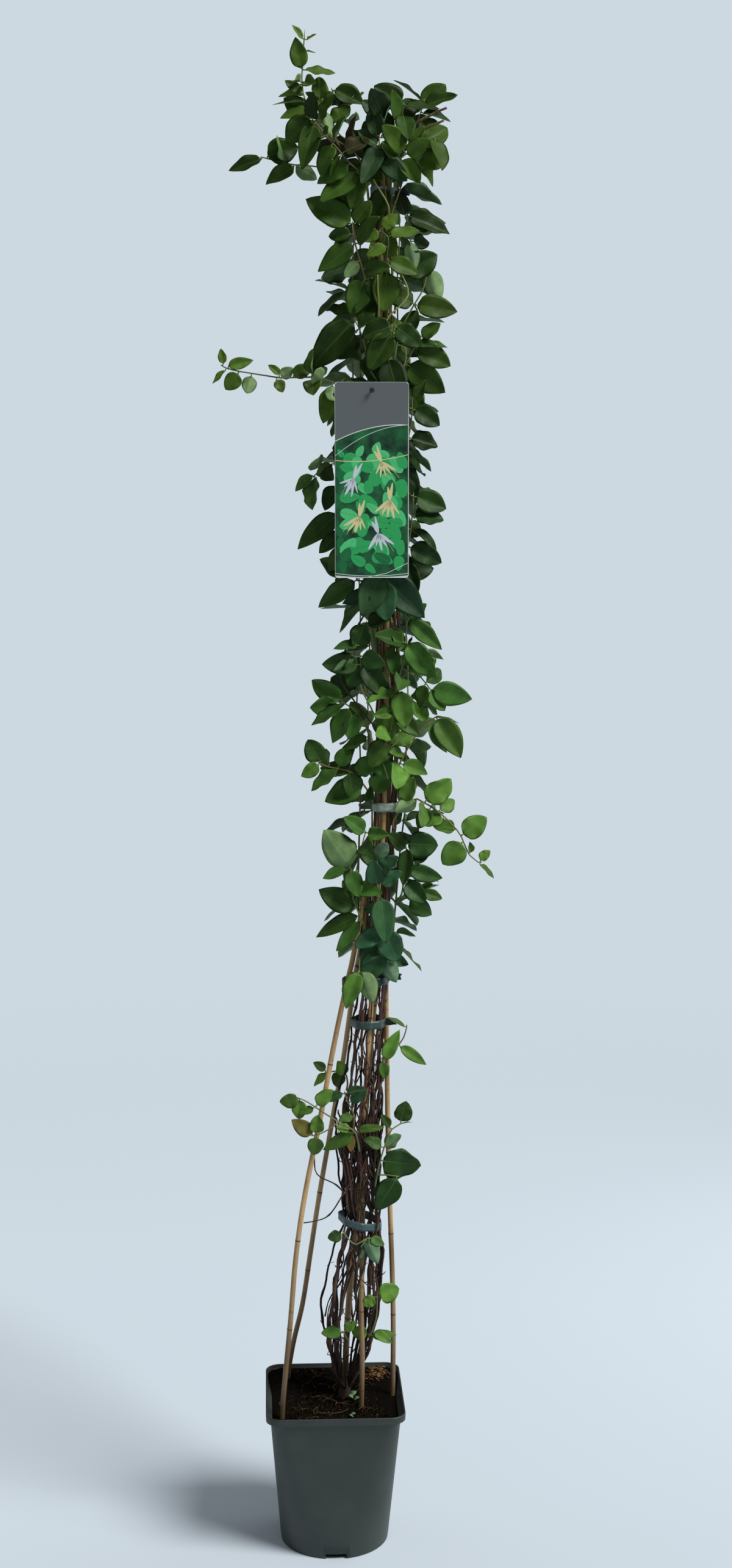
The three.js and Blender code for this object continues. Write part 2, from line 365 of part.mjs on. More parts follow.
const INFILL_WORTHS = [1.7, 1.3, 1, 0.8, 0.62, 0.5]; // least worth of a leaf, pass by pass
const SPARE_SPACING = 17;
const LEAST_OUTWARD = -0.55; // of a leaf's direction along its facet
const INFILL_BROAD = 0.62; // width over length
// Room before the top tie that leaves keep out of, so that the tie shows.
const TIE_ROOM = { left: 48, right: 96, front: -90, back: -22, low: 1729, high: 1741 };
// Leaves to try at a facet: [length, outward, up, to the side].
const INFILL_WAYS = [
  [50, 0.5, -0.5, 0], [50, 0.4, 0, 0.8], [50, 0.4, 0, -0.8], [50, 0.3, -0.8, 0.5],
  [50, 0.3, -0.8, -0.5], [50, 0.5, 0.6, 0.3], [42, 0.4, -0.3, 0.9], [42, 0.4, -0.3, -0.9],
  [42, 0.1, 0.5, 0.8], [42, 0.1, 0.5, -0.8], [42, 0, -1, 0], [36, 0.6, 0.2, 0],
  [36, 0.2, 0.9, 0.3], [30, 0.2, 0, 0.9], [30, 0.2, 0, -0.9],
];

// ---------------------------------------------------------------- small helpers

const vec = (x, y, z) => new THREE.Vector3(x, y, z);
const UP = vec(0, 0, 1);
const FRONT = vec(0, -1, 0);

/** Repeatable random numbers from 0 to 1. */
function seeded(seed) {
  let state = seed >>> 0;
  return () => {
    state = (state + 0x6d2b79f5) >>> 0;
    let t = Math.imul(state ^ (state >>> 15), state | 1);
    t = (t + Math.imul(t ^ (t >>> 7), t | 61)) ^ t;
    return ((t ^ (t >>> 14)) >>> 0) / 4294967296;
  };
}

/** Value of a table of rows [key, a, b, ...] at a key, straight between rows. */
function lookUp(table, key) {
  if (key <= table[0][0]) return table[0].slice(1);
  const next = table.findIndex((row) => row[0] >= key);
  if (next < 0) return table[table.length - 1].slice(1);
  const [low, high] = [table[next - 1], table[next]];
  const share = (key - low[0]) / (high[0] - low[0]);
  return low.slice(1).map((value, i) => value + (high[i + 1] - value) * share);
}

/** Point on a Catmull-Rom curve through the given points, for t from 0 to 1. */
function smoothPoints(points, perSpan) {
  const curve = new THREE.CatmullRomCurve3(points, false, "catmullrom", 0.5);
  return curve.getPoints((points.length - 1) * perSpan);
}

/** Point on a polyline, for t from 0 to 1. */
function along(points, t) {
  const place = t * (points.length - 1);
  const index = Math.min(Math.floor(place), points.length - 2);
  return points[index].clone().lerp(points[index + 1], place - index);
}

/** Closed surface through rings of points, each ring anticlockwise round the way it runs. */
function loft(rings) {
  const positions = [];
  const triangle = (a, b, c) => positions.push(...a.toArray(), ...b.toArray(), ...c.toArray());
  for (let r = 0; r + 1 < rings.length; r += 1) {
    const [low, high] = [rings[r], rings[r + 1]];
    const count = Math.max(low.length, high.length);
    for (let i = 0; i < count; i += 1) {
      const j = (i + 1) % count;
      if (low.length === 1) triangle(low[0], high[j], high[i]);
      else if (high.length === 1) triangle(low[i], low[j], high[0]);
      else {
        triangle(low[i], low[j], high[j]);
        triangle(low[i], high[j], high[i]);
      }
    }
  }
  const [first, last] = [rings[0], rings[rings.length - 1]];
  for (let i = 1; i + 1 < first.length; i += 1) triangle(first[0], first[i + 1], first[i]);
  for (let i = 1; i + 1 < last.length; i += 1) triangle(last[0], last[i], last[i + 1]);
  const geometry = new THREE.BufferGeometry();
  geometry.setAttribute("position", new THREE.Float32BufferAttribute(positions, 3));
  return geometry;
}

/** Tube along points; radii may end in 0 for a point. The first corner faces `toward`. */
function tube(points, radii, sides, toward) {
  let normal = toward.clone();
  const rings = points.map((point, i) => {
    const before = points[Math.max(i - 1, 0)];
    const after = points[Math.min(i + 1, points.length - 1)];
    const tangent = after.clone().sub(before).normalize();
    normal = normal.addScaledVector(tangent, -normal.dot(tangent)).normalize();
    if (radii[i] === 0) return [point.clone()];
    const binormal = tangent.clone().cross(normal);
    return Array.from({ length: sides }, (_, k) => {
      const angle = (2 * Math.PI * k) / sides;
      return point.clone()
        .addScaledVector(normal, radii[i] * Math.cos(angle))
        .addScaledVector(binormal, radii[i] * Math.sin(angle));
    });
  });
  return loft(rings);
}

function solidOf(geometry) {
  const bare = geometry.clone();
  bare.deleteAttribute("normal");
  bare.deleteAttribute("uv");
  const merged = mergeVertices(bare, 1e-4);
  return new wasm.Manifold(new wasm.Mesh({
    numProp: 3,
    vertProperties: new Float32Array(merged.attributes.position.array),
    triVerts: new Uint32Array(merged.index.array),
  }));
}

function geometryOf(solid) {
  const mesh = solid.getMesh();
  const geometry = new THREE.BufferGeometry();
  const positions = new Float32Array(mesh.vertProperties);
  geometry.setAttribute("position", new THREE.BufferAttribute(positions, 3));
  geometry.setIndex(new THREE.BufferAttribute(new Uint32Array(mesh.triVerts), 1));
  geometry.computeVertexNormals();
  return geometry;
}

// ---------------------------------------------------------------- the scene graph

const vine = new THREE.Group();
const obstacles = []; // every placed solid, with its node and its box

function place(name, solid, color, roughness = 0.6) {
  const material = new THREE.MeshStandardMaterial({ color, roughness, metalness: 0 });
  const mesh = new THREE.Mesh(geometryOf(solid), material);
  mesh.name = name;
  vine.add(mesh);
}

/** Adds a solid to the obstacles; a stalk is one for the other nodes alone. */
function occupy(node, solid, isStalk = false) {
  obstacles.push({ node, solid, isStalk, box: solid.boundingBox() });
}

function apart(a, b) {
  return [0, 1, 2].some((k) => a.max[k] < b.min[k] || b.max[k] < a.min[k]);
}

function overlap(a, b) {
  const common = a.intersect(b);
  const found = !common.isEmpty();
  common.delete();
  return found;
}

/** Whether a roomy copy of a piece keeps clear of all other nodes and of its own leaves. */
function isClear(node, roomy, blade = null) {
  const box = roomy.boundingBox();
  return !obstacles.some((other) => {
    if (apart(box, other.box)) return false;
    if (other.node !== node) return [roomy, blade].some((one) => one && overlap(one, other.solid));
    return blade !== null && !other.isStalk && overlap(blade, other.solid);
  });
}

// ---------------------------------------------------------------- pot and soil

function roundedSquare(half, corner, z, perCorner = 6) {
  const ring = [];
  for (let i = 0; i < 4 * perCorner; i += 1) {
    const quarter = Math.floor(i / perCorner);
    const angle = (quarter + ((i % perCorner) + 0.5) / perCorner) * 90 * DEGREE;
    const signX = quarter === 0 || quarter === 3 ? 1 : -1;
    const signY = quarter < 2 ? 1 : -1;
    ring.push(vec(
      signX * (half - corner) + corner * Math.cos(angle),
      signY * (half - corner) + corner * Math.sin(angle),
      z,
    ));
  }
  return ring;
}

function box(width, depth, height, x, y, z) {
  return solidOf(new THREE.BoxGeometry(width, depth, height).translate(x, y, z));
}

function makePot() {
  const neckZ = POT_HEIGHT - POT_RIM_HEIGHT;
  const innerRim = POT_RIM - POT_WALL;
  let pot = solidOf(loft([
    roundedSquare(POT_BASE_RADIUS, POT_BASE_RADIUS, 0),
    roundedSquare(POT_NECK, POT_CORNER - 2, neckZ),
    roundedSquare(POT_RIM, POT_CORNER, neckZ),
    roundedSquare(POT_RIM, POT_CORNER, POT_HEIGHT),
    roundedSquare(innerRim, POT_CORNER - POT_WALL, POT_HEIGHT),
    roundedSquare(innerRim, POT_CORNER - POT_WALL, neckZ + POT_WALL),
    roundedSquare(POT_NECK - POT_WALL, POT_CORNER - 2 * POT_WALL, neckZ),
    roundedSquare(POT_BASE_RADIUS - POT_WALL, POT_BASE_RADIUS - POT_WALL, POT_FLOOR),
  ]));
  const drainDepth = DRAIN.depth + 2 * DRAIN.overcut;
  const drainReach = POT_BASE_RADIUS - DRAIN.depth / 2 + DRAIN.overcut;
  for (const [x, y] of [[0, -1], [1, 0], [0, 1], [-1, 0]]) {
    const across = x === 0 ? [DRAIN.width, drainDepth] : [drainDepth, DRAIN.width];
    pot = pot.subtract(box(...across, 2 * DRAIN.height, x * drainReach, y * drainReach, 0));
  }
  for (const side of [-1, 1]) {
    const slotZ = POT_HEIGHT - POT_RIM_HEIGHT / 2;
    const { depth, width, height } = RIM_SLOT;
    pot = pot.subtract(box(depth, width, height, side * POT_RIM, 0, slotZ));
  }
  return pot;
}

/** Ring just inside the pot's wall; its height may depend on how far back a point is. */
function insidePot(heightAt) {
  const neckZ = POT_HEIGHT - POT_RIM_HEIGHT;
  const low = roundedSquare(POT_BASE_RADIUS - POT_WALL, POT_BASE_RADIUS - POT_WALL, POT_FLOOR);
  const high = roundedSquare(POT_NECK - POT_WALL, POT_CORNER - 2 * POT_WALL, neckZ);
  const shrink = 1 - SOIL_SPARE / POT_BASE_RADIUS;
  return low.map((point, i) => {
    const share = (heightAt(high[i].y) - POT_FLOOR) / (neckZ - POT_FLOOR);
    return point.lerp(high[i], share).multiply(vec(shrink, shrink, 1));
  });
}

const soilLevel = (y) =>
  SOIL_TOP + SOIL_RISE.height * THREE.MathUtils.smoothstep(y, SOIL_RISE.from, SOIL_RISE.to);

function makeSoil(buried) {
  const random = seeded(4);
  const highest = POT_HEIGHT - POT_RIM_HEIGHT - GAP;
  const edge = insidePot((y) => Math.min(soilLevel(y) - SOIL_SINK, highest));
  const heap = (share, rough) => edge.map(({ x, y }) =>
    vec(x * share, y * share, soilLevel(y * share) + (random() - 0.5) * rough));
  let soil = solidOf(loft([
    insidePot(() => POT_FLOOR + GAP), edge, heap(0.95, 1), heap(0.78, 2.5), heap(0.5, 3),
    [vec(0, 0, SOIL_TOP + 1)],
  ]));
  for (const piece of buried) soil = soil.subtract(piece);
  return soil;
}

// ---------------------------------------------------------------- canes and woody stems

const polar = (radius, degrees) =>
  vec(radius * Math.cos(degrees * DEGREE), radius * Math.sin(degrees * DEGREE), 0);

function bundlePoint(z, radius, bearing) {
  const [x, y] = lookUp(BUNDLE, z);
  return polar(radius, bearing).add(vec(x, y, z));
}

function caneRoute(cane) {
  const spread = cane.name === "cane_middle" ? 0 : CANE_SPREAD;
  const points = cane.foot.map((point) => vec(...point));
  if (points.at(-1).z < CANE_JOIN.below) {
    points.push(bundlePoint(CANE_JOIN.z, spread * CANE_JOIN.spread, cane.bearing));
  }
  for (const z of [...CANE_HEIGHTS, cane.top]) {
    points.push(bundlePoint(z, spread, cane.bearing));
  }
  return points;
}

function woodRoute({ bearing, foot, top, share = 1 }, index) {
  const random = seeded(100 + index);
  const rows = WOOD_RING.filter((row) => row[0] < top);
  return rows.map(([z, ring, varies]) => {
    const radius = share * ring * (1 + varies * 2 * (random() - 0.5));
    const sway = varies * WOOD_SWAY * (random() - 0.5);
    return bundlePoint(z, radius, (z < FEET_TOP ? foot : bearing) + sway);
  });
}

/** Radius of a woody stem at a height. */
function woodRadius({ base = WOOD_RADIUS }, z) {
  const share = Math.max(0, (BASE_TOP - z) / (BASE_TOP - SOIL_TOP));
  return WOOD_RADIUS + (base - WOOD_RADIUS) * Math.min(1, share * BASE_FLARE);
}

function makeWoodStem(route, index) {
  const outward = polar(1, WOOD[index].bearing);
  const rings = route.map((point, i) => {
    const isTip = i === route.length - 1;
    const radius = isTip ? WOOD_TIP_RADIUS : woodRadius(WOOD[index], point.z);
    const centre = vec(...lookUp(BUNDLE, point.z), point.z);
    const away = point.clone().sub(centre);
    const facing = away.length() > 1 ? away.normalize() : outward;
    return [0, 1, 2].map((k) => {
      const turned = facing.clone().applyAxisAngle(UP, k * 120 * DEGREE);
      return point.clone().addScaledVector(turned, radius);
    });
  });
  return solidOf(loft(rings));
}

/** Branch from one woody stem to another, out on the ring of stems in between. */
function makeCrossing([from, low, to, high]) {
  const start = pointAtHeight(woodRoutes[from], low);
  const end = pointAtHeight(woodRoutes[to], high);
  const middle = start.clone().lerp(end, 0.5);
  const centre = vec(...lookUp(BUNDLE, middle.z), middle.z);
  const away = middle.clone().sub(centre);
  const reach = (start.distanceTo(vec(...lookUp(BUNDLE, low), low))
    + end.distanceTo(vec(...lookUp(BUNDLE, high), high))) / 2;
  const bend = centre.addScaledVector(away.normalize(), reach + 1);
  const radii = [CROSSING_RADIUS * 0.8, CROSSING_RADIUS, CROSSING_RADIUS * 0.8];
  return solidOf(tube([start, bend, end], radii, 3, away));
}

function makeBranch({ stem, z, route, backTo, radii }) {
  const points = [pointAtHeight(woodRoutes[stem], z), ...route.map((point) => vec(...point))];
  if (backTo) points.push(pointAtHeight(woodRoutes[stem], backTo));
  const last = points.length - 1;
  const sizes = points.map((_, i) => radii[0] + ((radii[1] - radii[0]) * i) / last);
  return solidOf(tube(points, sizes, 3, FRONT));
}

function makeTrunk(spare = 0) {
  const [x, y] = lookUp(BUNDLE, SOIL_TOP);
  const { radius, foot, top, sides } = TRUNK;
  const points = [vec(x, y + 1, foot - spare), vec(x, y, SOIL_TOP), vec(x + 1, y - 2, top)];
  const radii = [0.7, 1, 0.6].map((share) => radius * share + spare);
  return solidOf(tube(points, radii, sides, vec(1, 0, 0)));
}

/** Point on a woody stem's polyline at a height. */
function pointAtHeight(route, z) {
  const found = route.findIndex((point) => point.z >= z);
  const next = found < 0 ? route.length - 1 : Math.max(found, 1);
  const [low, high] = [route[next - 1], route[next]];
  return low.clone().lerp(high, (z - low.z) / (high.z - low.z));
}

// ---------------------------------------------------------------- ties

const HULL_CORNER = 0.16; // least height of a corner over its neighbours

/** Loop round points of a plane, without its flattest corners. */
function convexHull(points) {
  const sorted = [...points].sort((a, b) => a.x - b.x || a.y - b.y);
  const half = (list) => {
    const chain = [];
    for (const p of list) {
      while (chain.length > 1) {
        const [a, b] = chain.slice(-2);
        if ((b.x - a.x) * (p.y - a.y) - (b.y - a.y) * (p.x - a.x) > 0) break;
        chain.pop();
      }
      chain.push(p);
    }
    return chain.slice(0, -1);
  };
  const hull = [...half(sorted), ...half(sorted.reverse())];
  return hull.filter((p, i) => {
    const [a, b] = [hull.at(i - 1), hull[(i + 1) % hull.length]];
    const area = (b.x - a.x) * (p.y - a.y) - (b.y - a.y) * (p.x - a.x);
    return i % 2 === 0 || Math.abs(area) > HULL_CORNER * a.distanceTo(b);
  });
}

const TIE_HALF = 24; // half width of the widest sloping tie

/** Loop of tape drawn tight round every route of `held` ({ route, radius }) at a height. */
function makeTie({ z, held, tail, slope = 0 }) {
  const corners = 6;
  const middle = lookUp(BUNDLE, z)[0];
  const reachUp = TAPE.height / 2 + Math.abs(slope) * TIE_HALF;
  const outline = (spare) => convexHull(held.flatMap(({ route, radius }) =>
    [-reachUp, reachUp].flatMap((rise) => {
      const centre = pointAtHeight(route, z + rise);
      const reach = (radius + spare) / Math.cos(Math.PI / corners);
      return Array.from({ length: corners }, (_, k) =>
        new THREE.Vector2(centre.x, centre.y).add(
          new THREE.Vector2(reach, 0).rotateAround(new THREE.Vector2(), ((k * 360) / corners) * DEGREE)));
    })));
  const outer = outline(GAP + TAPE.thickness);
  const shape = new THREE.Shape(outer);
  shape.holes.push(new THREE.Path(outline(GAP)));
  const loop = new THREE.ExtrudeGeometry(shape, { depth: TAPE.height, bevelEnabled: false });
  loop.translate(-middle, 0, z - TAPE.height / 2);
  loop.applyMatrix4(new THREE.Matrix4().makeShear(0, slope, 0, 0, 0, 0));
  let tie = solidOf(loop.translate(middle, 0, 0));
  if (tail !== 0) {
    const end = outer.reduce((best, p) => (p.x * tail > best.x * tail ? p : best));
    const tailX = end.x + tail * (TAPE.tail / 2 - TAPE.thickness * 0.7);
    tie = tie.add(box(TAPE.tail, TAPE.thickness, TAPE.height - 1, tailX, end.y, z));
  }
  return tie;
}

// ---------------------------------------------------------------- label and its hanger

const LABEL_PLACE = { x: 46.5, y: -57.5, z: 1387, tilt: 1.2 };
const HANGER_RADIUS = 1.1;
const KNOB = { back: 3.3, front: 2.6, height: 1.6 }; // radii at its back and front

function makeLabel() {
  const { width, height, thickness, corner, hole, holeDrop } = LABEL;
  const shape = new THREE.Shape();
  const corners = [[1, 1], [-1, 1], [-1, -1], [1, -1]];
  corners.forEach(([sx, sy], quarter) => {
    const centre = [sx * (width / 2 - corner), sy * (height / 2 - corner)];
    shape.absarc(...centre, corner, quarter * 90 * DEGREE, (quarter + 1) * 90 * DEGREE, false);
  });
  const opening = new THREE.Path();
  opening.absarc(0, height / 2 - holeDrop, hole, 0, 2 * Math.PI, true);
  shape.holes.push(opening);
  const settings = { depth: thickness, bevelEnabled: false, curveSegments: 3 };
  const card = new THREE.ExtrudeGeometry(shape, settings);
  card.translate(0, 0, -thickness / 2);
  card.rotateX((90 + LABEL_PLACE.tilt) * DEGREE);
  return card.translate(LABEL_PLACE.x, LABEL_PLACE.y, LABEL_PLACE.z);
}

/** Plastic stalk with a knob: it holds the label by its hole and ends at a woody stem. */
function makeHanger(wood) {
  const holeZ = LABEL_PLACE.z + LABEL.height / 2 - LABEL.holeDrop;
  const faceY = LABEL_PLACE.y - (LABEL.height / 2 - LABEL.holeDrop) * Math.sin(LABEL_PLACE.tilt * DEGREE);
  const stem = pointAtHeight(wood, holeZ + 4);
  const end = stem.clone().add(vec(0, -(WOOD_RADIUS + GAP), 0));
  const front = faceY - LABEL.thickness / 2 - GAP;
  const route = smoothPoints([
    vec(LABEL_PLACE.x, front - 0.5, holeZ), vec(LABEL_PLACE.x, faceY + 5, holeZ),
    vec(LABEL_PLACE.x + 2, faceY + 20, holeZ + 3), end,
  ], 2);
  const stalk = solidOf(tube(route, route.map(() => HANGER_RADIUS), 5, UP));
  const knobEnds = [front, front - KNOB.height].map((y) => vec(LABEL_PLACE.x, y, holeZ));
  const knob = tube(knobEnds, [KNOB.back, KNOB.front], 7, UP);
  return stalk.add(solidOf(knob));
}

// ---------------------------------------------------------------- leaves

const STALK_HALF = 0.7; // half width of a leaf's stalk
const STALK_RISE = 1.6; // of the stalk's end over the corner of its stem
const STALK_REACH = 1.5;
const LEAF_DEPTH = 1.4; // of the midrib under the blade
const LEAF_DROOP = 0.12; // of the tip, as a share of the length
const LARGE_LEAF = 52;
const BLADE_BROAD = 1.14; // of a blade laid flat over its width as seen at a slant
// Rings of a blade: place along it, and its share of the full width.
const SMALL_BLADE = [[0.44, 1]];
const LARGE_BLADE = [[0.28, 0.9], [0.64, 0.86]];

/** Where the stalk of a leaf ends and its blade starts. */
function stalkEnd(leaf) {
  return leaf.base.clone()
    .addScaledVector(leaf.facet, leaf.stemRadius + STALK_RISE)
    .addScaledVector(leaf.direction, STALK_REACH);
}

/** Rings of a leaf from its stalk's end to its tip. `spare` makes a roomy copy. */
function leafRings(leaf, spare = 0) {
  const start = stalkEnd(leaf);
  const length = leaf.length - STALK_REACH;
  const at = (share) => start.clone()
    .addScaledVector(leaf.direction, length * share)
    .addScaledVector(leaf.normal, -LEAF_DROOP * length * share * share);
  const ring = (centre, way, half, depth) => {
    const normal = leaf.normal.clone().addScaledVector(way, -leaf.normal.dot(way)).normalize();
    const across = way.clone().cross(normal);
    const top = centre.clone().addScaledVector(normal, spare);
    return [
      top.clone().addScaledVector(across, half + spare),
      centre.clone().addScaledVector(normal, -depth - spare),
      top.clone().addScaledVector(across, -half - spare),
    ];
  };
  const bent = leaf.direction.clone().add(leaf.facet).normalize();
  const rings = [ring(at(0), bent, STALK_HALF, 1)];
  for (const [share, width] of leaf.length > LARGE_LEAF ? LARGE_BLADE : SMALL_BLADE) {
    rings.push(ring(at(share), leaf.direction, (width * leaf.width) / 2, LEAF_DEPTH));
  }
  rings.push([at(1).addScaledVector(leaf.direction, 2 * spare)]);
  return rings;
}

/** The leaf turned by one of LEAF_TURNS. */
function turnedLeaf(leaf, [side, lift, share]) {
  const across = leaf.direction.clone().cross(leaf.normal);
  const direction = leaf.direction.clone()
    .addScaledVector(across, side)
    .addScaledVector(leaf.normal, lift)
    .normalize();
  const normal = leaf.normal.clone()
    .addScaledVector(direction, -leaf.normal.dot(direction))
    .normalize();
  return { ...leaf, direction, normal, length: leaf.length * share, width: leaf.width * share };
}

/** Leaf from its row in SPRAYS. */
function leafFromRow([place, length, width, heading, lean, roll]) {
  const direction = vec(
    Math.cos(heading * DEGREE) * Math.cos(lean * DEGREE),
    -Math.sin(lean * DEGREE),
    Math.sin(heading * DEGREE) * Math.cos(lean * DEGREE),
  );
  const facing = FRONT.clone().addScaledVector(direction, -FRONT.dot(direction)).normalize();
  const pointsRight = heading < 90 || heading > 270;
  const turn = (pointsRight ? -roll : roll) * DEGREE;
  const broad = Math.min(width * BLADE_BROAD, Math.max(width, length * 0.8));
  return { place, direction, normal: facing.applyAxisAngle(direction, turn), length, width: broad };
}

// ---------------------------------------------------------------- leafy stems

const STEM_RADII = [1.5, 0.8]; // at the root and near the tip
const JOINT_HALF = 1.3; // half the height of the joint that leaves grow from
const JOINT_SPACING = 4.4;
const SHARED_JOINT = 7; // leaves nearer than this grow from one joint
const ROOT_FREE = 5;
const TIP_FREE = 3.5;
const FREE_SPACING = 9; // least way from a joint to a ring of the stem that has no leaf

/** Distances along a polyline. */
function arcsOf(points) {
  const arcs = [0];
  for (let i = 1; i < points.length; i += 1) {
    arcs.push(arcs[i - 1] + points[i].distanceTo(points[i - 1]));
  }
  return arcs;
}

function atArc(points, arcs, arc) {
  const next = Math.max(1, arcs.findIndex((value) => value >= arc - 1e-9));
  const share = (arc - arcs[next - 1]) / (arcs[next] - arcs[next - 1]);
  return points[next - 1].clone().lerp(points[next], share);
}

/** Joints of a stem: [{ arc, members }], with its leaves and its twig as members. */
function findJoints(points, members) {
  const arcs = arcsOf(points);
  const total = arcs[arcs.length - 1];
  const arcAt = (t) => {
    const place = t * (points.length - 1);
    const index = Math.min(Math.floor(place), points.length - 2);
    return arcs[index] + (arcs[index + 1] - arcs[index]) * (place - index);
  };
  const sorted = members
    .map((member) => ({ member, arc: arcAt(member.place) }))
    .sort((a, b) => a.arc - b.arc);
  const joints = [];
  for (const { member, arc } of sorted) {
    const last = joints[joints.length - 1];
    if (last && arc - last.arc < SHARED_JOINT && last.members.length < 2) last.members.push(member);
    else joints.push({ arc, members: [member] });
  }
  // pushed apart from the tip down, then kept off the root
  let limit = total - TIP_FREE;
  for (const joint of [...joints].reverse()) {
    joint.arc = Math.min(joint.arc, limit);
    limit = joint.arc - JOINT_SPACING;
  }
  let floor = ROOT_FREE;
  for (const joint of joints) {
    joint.arc = Math.max(joint.arc, floor);
    floor = joint.arc + JOINT_SPACING;
  }
  return joints;
}

/** Frame of a stem at an arc: the middle and the ring of three corners with its facets. */
function stemFrame(stem, arc) {
  const { points } = stem;
  const arcs = arcsOf(points);
  const total = arcs[arcs.length - 1];
  const tangentAt = (place) => {
    // the root ring lies flat, so that one corner of it meets the wood
    if (place === 0) return vec(0, 0, Math.sign(points[1].z - points[0].z) || 1);
    const ahead = atArc(points, arcs, Math.min(place + 2, total));
    return ahead.sub(atArc(points, arcs, Math.max(place - 2, 0))).normalize();
  };
  const square = (normal, tangent) =>
    normal.clone().addScaledVector(tangent, -normal.dot(tangent)).normalize();
  let normal = stem.toward;
  for (const passed of arcs.filter((value) => value < arc)) normal = square(normal, tangentAt(passed));
  const tangent = tangentAt(arc);
  normal = square(normal, tangent);
  const binormal = tangent.clone().cross(normal);
  const centre = atArc(points, arcs, arc);
  const radius = stem.radii[0] + ((stem.radii[1] - stem.radii[0]) * arc) / total;
  const out = (degrees) => normal.clone().multiplyScalar(Math.cos(degrees * DEGREE))
    .addScaledVector(binormal, Math.sin(degrees * DEGREE));
  const ring = [0, 120, 240].map((degrees) => centre.clone().addScaledVector(out(degrees), radius));
  return { arc, centre, radius, ring, facets: [60, 180, 300].map(out) };
}

/** Frames along a stem: two for each joint, and those between that its bends need. */
function stemFrames(stem) {
  const arcs = arcsOf(stem.points);
  const total = arcs[arcs.length - 1];
  const jointArcs = stem.joints.flatMap((joint) => [joint.arc - JOINT_HALF, joint.arc + JOINT_HALF]);
  const free = arcs.filter((arc) => arc > stem.startArc && arc < total - TIP_FREE
    && stem.joints.every((joint) =>
      Math.abs(joint.arc - arc) > JOINT_HALF + (joint.spare ? JOINT_HALF : FREE_SPACING)));
  const stations = [stem.startArc, ...free, ...jointArcs].sort((a, b) => a - b);
  const frames = stations.map((arc) => stemFrame(stem, arc));
  const end = stem.points[stem.points.length - 1].clone();
  return { frames, end };
}

/** Gives each member of a joint the facet of the stem that faces its way best. */
function shareFacets(stem) {
  for (const joint of stem.joints) {
    const frame = stemFrame(stem, joint.arc);
    let best = null;
    for (let first = 0; first < 3; first += 1) {
      for (let second = 0; second < 3; second += 1) {
        if (first === second) continue;
        const picks = [first, second].slice(0, joint.members.length);
        const score = joint.members.reduce((sum, member, i) =>
          sum + member.direction.dot(frame.facets[picks[i]]), 0);
        if (best === null || score > best.score + 1e-9) best = { score, picks };
      }
    }
    const base = atArc(stem.points, arcsOf(stem.points), joint.arc);
    joint.members.forEach((member, i) => {
      const facetIndex = best.picks[i];
      const facet = frame.facets[facetIndex];
      Object.assign(member, { base, facetIndex, facet, stemRadius: frame.radius });
    });
  }
}

/** Collects triangles; `zip` joins two loops that run the same way round. */
function meshCollector() {
  const positions = [];
  const triangle = (a, b, c) => positions.push(...a.toArray(), ...b.toArray(), ...c.toArray());
  const zip = (low, high) => {
    let best = null;
    for (let offset = 0; offset < high.length; offset += 1) {
      const found = [];
      let [i, j, cost] = [0, 0, 0];
      const lowAt = (n) => low[n % low.length];
      const highAt = (n) => high[(n + offset) % high.length];
      while (i < low.length || j < high.length) {
        const stepLow = lowAt(i + 1).distanceTo(highAt(j));
        const stepHigh = lowAt(i).distanceTo(highAt(j + 1));
        const takeLow = (i + 1) / low.length <= (j + 1) / high.length;
        if (takeLow) found.push([lowAt(i), lowAt(i + 1), highAt(j)]);
        else found.push([lowAt(i), highAt(j + 1), highAt(j)]);
        cost += takeLow ? stepLow : stepHigh;
        if (takeLow) i += 1;
        else j += 1;
      }
      if (best === null || cost < best.cost) best = { cost, found };
    }
    best.found.forEach((corners) => triangle(...corners));
  };
  return { positions, triangle, zip };
}

/** Adds the blade through rings that end in a tip to a mesh. */
function addBlade(mesh, rings) {
  for (let r = 0; r + 2 < rings.length; r += 1) mesh.zip(rings[r], rings[r + 1]);
  const [last, [tip]] = rings.slice(-2);
  last.forEach((corner, c) => mesh.triangle(corner, last[(c + 1) % last.length], tip));
}

function meshSolid(mesh) {
  const geometry = new THREE.BufferGeometry();
  geometry.setAttribute("position", new THREE.Float32BufferAttribute(mesh.positions, 3));
  return solidOf(geometry);
}

function bladeSolid(leaf, spare = 0) {
  const mesh = meshCollector();
  const rings = leafRings(leaf, spare);
  mesh.triangle(rings[0][0], rings[0][2], rings[0][1]);
  addBlade(mesh, rings);
  return meshSolid(mesh);
}

